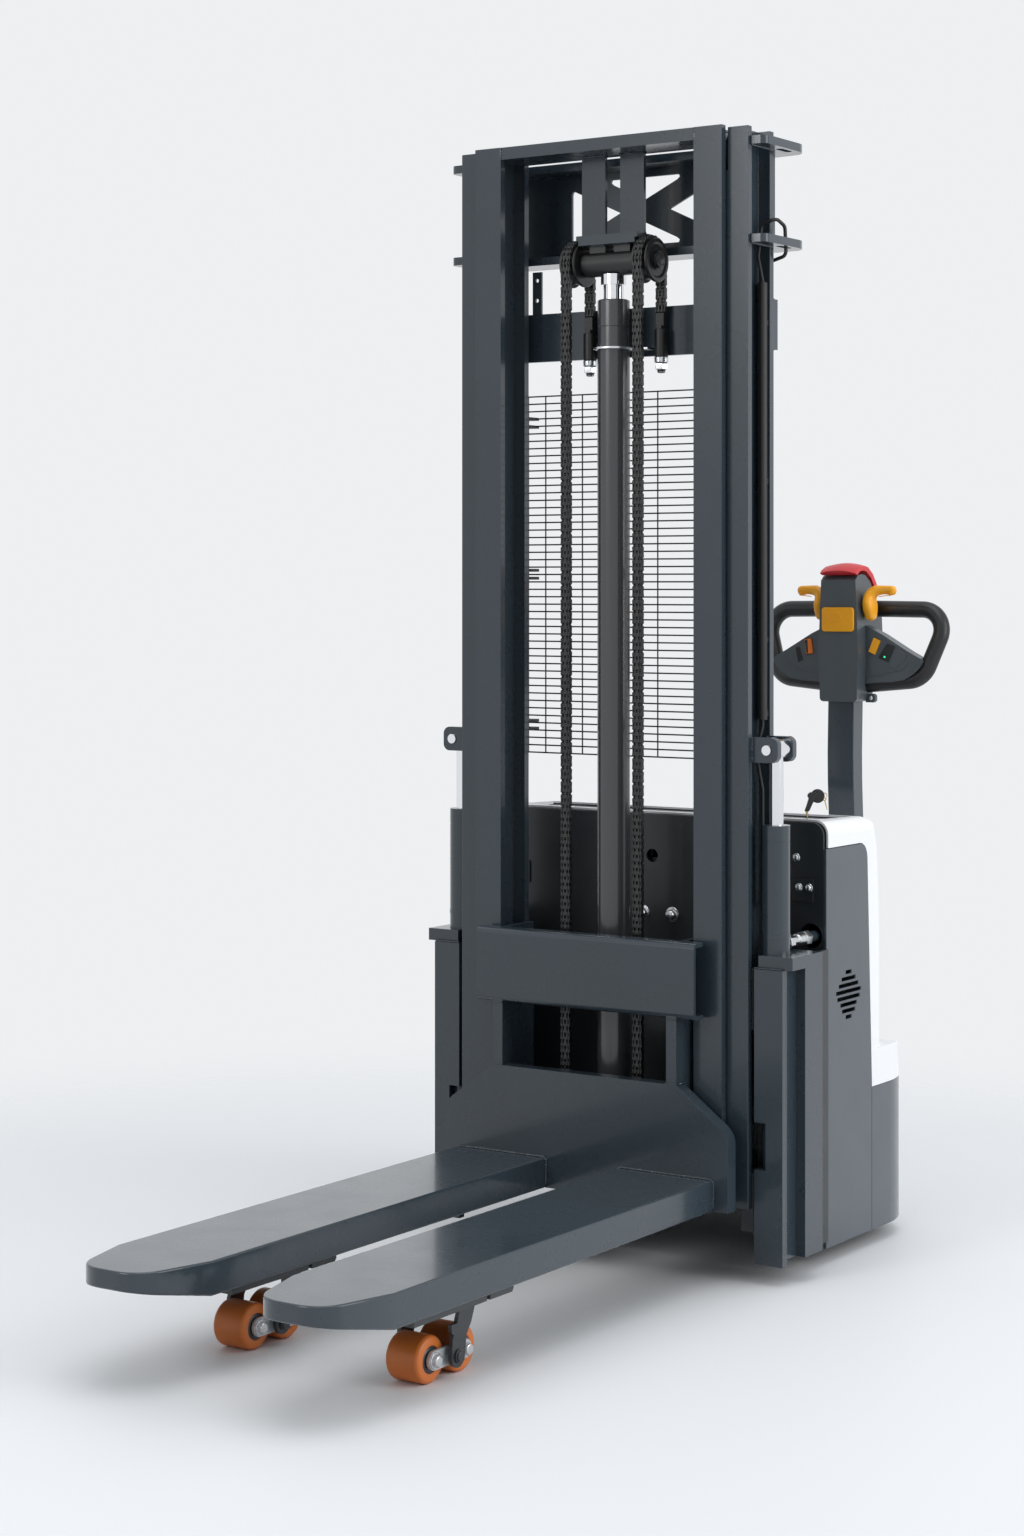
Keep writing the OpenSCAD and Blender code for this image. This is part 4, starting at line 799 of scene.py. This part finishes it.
def key_look():
    """The key, drawn from the middle of its switch and turned with it."""
    turn, z0 = math.radians(34), 854.0
    c, q = math.cos(turn), math.sin(turn)
    m = Matrix(((c, -q, 0, 318), (q, c, 0, 318), (0, 0, 1, 0), (0, 0, 0, 1)))
    s = Shape()
    s.prism([(-1.8, z0 - 16), (1.8, z0 - 16), (1.4, z0 + 4), (1.2, z0 + 14.5), (-4.2, z0 + 14.5),
             (-2.6, z0 + 4)], 1, -0.9, 0.9, 1)
    s.lathe([(0, 0), (9.6, 0), (9.6, 2.2), (8.4, 3.4), (4.4, 3.4), (4.4, 0.6), (0, 0.6)], (0, 0, 844),
            (0, 0, 1), 40, 2)
    grip = [(-1, 14), (2, 13), (7, 13.4), (8.6, 15), (14, 27), (21.5, 42), (23, 46.2), (20.5, 50.2),
            (10, 50.6), (6, 47.5), (4.6, 44.4), (5.2, 41.6), (7.2, 39), (3, 25)]
    s.prism([(x - 5, z0 + z) for x, z in grip], 1, -4.0, 4.0)
    s.lathe([(0, -4.4), (12.2, -4.4), (13.6, -3), (13.6, 3), (12.2, 4.4), (0, 4.4)], (20.6, 9.2, z0 + 42.5),
            (0, 1, 0), 48)
    o = s.make("key_grip", "start_key", [BLACK, BRASS, ZINC], bevel=0.9, matrix=m)
    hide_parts("key")
    s = Shape()
    turns = [2 * math.pi * i / 36 for i in range(36)]
    s.tube([(34 + 4.8 * math.cos(a), 8 + 2.4 * math.sin(a), z0 + 43.5 + 4.8 * math.sin(a)) for a in turns],
           0.8, 8, closed=True)
    s.lathe([(1.6, -0.8), (3.6, -0.8), (3.6, 0.8), (1.6, 0.8), (1.6, -0.8)], (34, 8, z0 + 36.4),
            (0.2, 1, 0), 24)
    s.prism([(33, z0 + 34), (35.6, z0 + 34), (39.8, z0 + 16), (38.4, z0 + 15.4)], 1, 7.2, 8.8)
    s.make("key_ring", "start_key", [BRASS], matrix=m)


def tint(name, mat, lo, hi):
    """Give another surface to the faces whose middles lie in a box (millimetres)."""
    me = bpy.data.objects[name].data
    a, b = pt(*lo), pt(*hi)
    me.materials.append(mat)
    k = len(me.materials) - 1
    for p in me.polygons:
        if all(a[i] <= p.center[i] <= b[i] for i in range(3)):
            p.material_index = k


chains()
guard()
load_wheels()
lift_details()
bolts()
welds()
head_details()
rocker_face()
levers()
belly_cap()
cover_shell()
key_look()
# The top of the cover painted dark grey: painted shade and a painted reflection of the mast.
tint("cover_shell", PAINTED_SHADE, (-353, 295, 844), (353, 441, 846))
tint("inner_mast_frame_look", STEEL, (-64.2, 92, 1913), (64.2, 138, 1970.5))
# The outward recess of each guide column, between its flanges, painted dark grey: painted shade.
for sg, side in SIDES:
    x0, x1 = sorted((sg * 302, sg * 329))
    tint(f"guide_column_{side}_look", PAINTED_SHADE, (x0, 80, 93), (x1, 149, 585))


# ---------------------------------------------------------------- stage, light, camera

def floor():
    """A pale floor that fades into the backdrop away from the object."""
    half, fade_from, fade_to = 14.0, 1.1, 3.0
    me = bpy.data.meshes.new("floor")
    corners = [(-half, -half, 0), (half, -half, 0), (half, half, 0), (-half, half, 0)]
    me.from_pydata(corners, [], [(0, 1, 2, 3)])
    o = bpy.data.objects.new("floor", me)
    bpy.context.scene.collection.objects.link(o)
    m = bpy.data.materials.new("floor_pale")
    m.use_nodes = True
    nt = m.node_tree
    link = nt.links.new
    b = nt.nodes["Principled BSDF"]
    b.inputs["Base Color"].default_value = (0.79, 0.80, 0.812, 1)
    b.inputs["Roughness"].default_value = 0.5
    b.inputs["Specular IOR Level"].default_value = 0.1
    clear = shader(nt, "ShaderNodeBsdfTransparent")
    mix = shader(nt, "ShaderNodeMixShader")
    place = shader(nt, "ShaderNodeNewGeometry")
    away = shader(nt, "ShaderNodeVectorMath", operation="LENGTH")
    fade = shader(nt, "ShaderNodeMapRange", {"From Min": fade_from, "From Max": fade_to},
                  interpolation_type="SMOOTHSTEP")
    link(place.outputs["Position"], away.inputs[0])
    link(away.outputs["Value"], fade.inputs["Value"])
    link(fade.outputs[0], mix.inputs[0])
    link(b.outputs[0], mix.inputs[1])
    link(clear.outputs[0], mix.inputs[2])
    link(mix.outputs[0], nt.nodes["Material Output"].inputs[0])
    me.materials.append(m)


def world():
    """The camera, metal and glass see a pale backdrop; the light on matt surfaces is stronger from behind."""
    w = bpy.data.worlds.new("studio")
    bpy.context.scene.world = w
    w.use_nodes = True
    nt = w.node_tree
    nt.nodes.clear()
    link = nt.links.new
    out = shader(nt, "ShaderNodeOutputWorld")
    backdrop = shader(nt, "ShaderNodeBackground", {0: (0.853, 0.868, 0.888, 1), 1: 1.0})
    light = shader(nt, "ShaderNodeBackground", {0: (0.93, 0.96, 1.0, 1)})
    place = shader(nt, "ShaderNodeTexCoord")
    behind = shader(nt, "ShaderNodeVectorMath", {1: (0.42, 0.90, 0.20)}, operation="DOT_PRODUCT")
    strength = shader(nt, "ShaderNodeMapRange",
                      {"From Min": -0.45, "From Max": 0.55, "To Min": 0.24, "To Max": 1.12},
                      interpolation_type="SMOOTHSTEP")
    path = shader(nt, "ShaderNodeLightPath")
    shiny = shader(nt, "ShaderNodeMath", operation="MAXIMUM")
    seen = shader(nt, "ShaderNodeMath", operation="MAXIMUM")
    mix = shader(nt, "ShaderNodeMixShader")
    link(place.outputs["Generated"], behind.inputs[0])
    link(behind.outputs["Value"], strength.inputs["Value"])
    link(strength.outputs[0], light.inputs[1])
    link(path.outputs["Is Glossy Ray"], shiny.inputs[0])
    link(path.outputs["Is Transmission Ray"], shiny.inputs[1])
    link(path.outputs["Is Camera Ray"], seen.inputs[0])
    link(shiny.outputs[0], seen.inputs[1])
    link(seen.outputs[0], mix.inputs[0])
    link(light.outputs[0], mix.inputs[1])
    link(backdrop.outputs[0], mix.inputs[2])
    link(mix.outputs[0], out.inputs[0])


def lamp(name, place, target, width, height, watts):
    d = bpy.data.lights.new(name, "AREA")
    d.shape = "RECTANGLE"
    d.size, d.size_y = width, height
    d.energy = watts
    o = bpy.data.objects.new(name, d)
    bpy.context.scene.collection.objects.link(o)
    o.location = place
    o.rotation_euler = (Vector(target) - Vector(place)).to_track_quat("-Z", "Y").to_euler()


def camera():
    """The photograph's camera: level, with its horizon above the middle of the picture."""
    picture, horizon, focal = 1536, 585.457, 2786.12   # rows of pixels
    d = bpy.data.cameras.new("camera")
    d.sensor_fit = "VERTICAL"
    d.sensor_height = 36.0
    d.sensor_width = 24.0
    d.lens = focal / picture * d.sensor_height
    d.shift_y = -(picture / 2 - horizon) / picture
    o = bpy.data.objects.new("camera", d)
    bpy.context.scene.collection.objects.link(o)
    o.location = (2.8758 - MID, -4.5024 + HEEL, 1.3073)
    o.rotation_euler = (math.radians(90), 0, math.radians(34.0067))
    bpy.context.scene.camera = o


floor()
world()
lamp("top_box", (0.6, -0.6, 4.6), (0, 0, 0.6), 3.2, 3.2, 57)
lamp("right_box", (4.6, 0.8, 2.3), (0.2, 0.2, 1.0), 2.4, 3.2, 74)
lamp("front_box", (-1.4, -5.2, 3.4), (0, 0, 1.3), 2.2, 2.2, 85)
camera()
bpy.context.scene.view_settings.view_transform = "Standard"
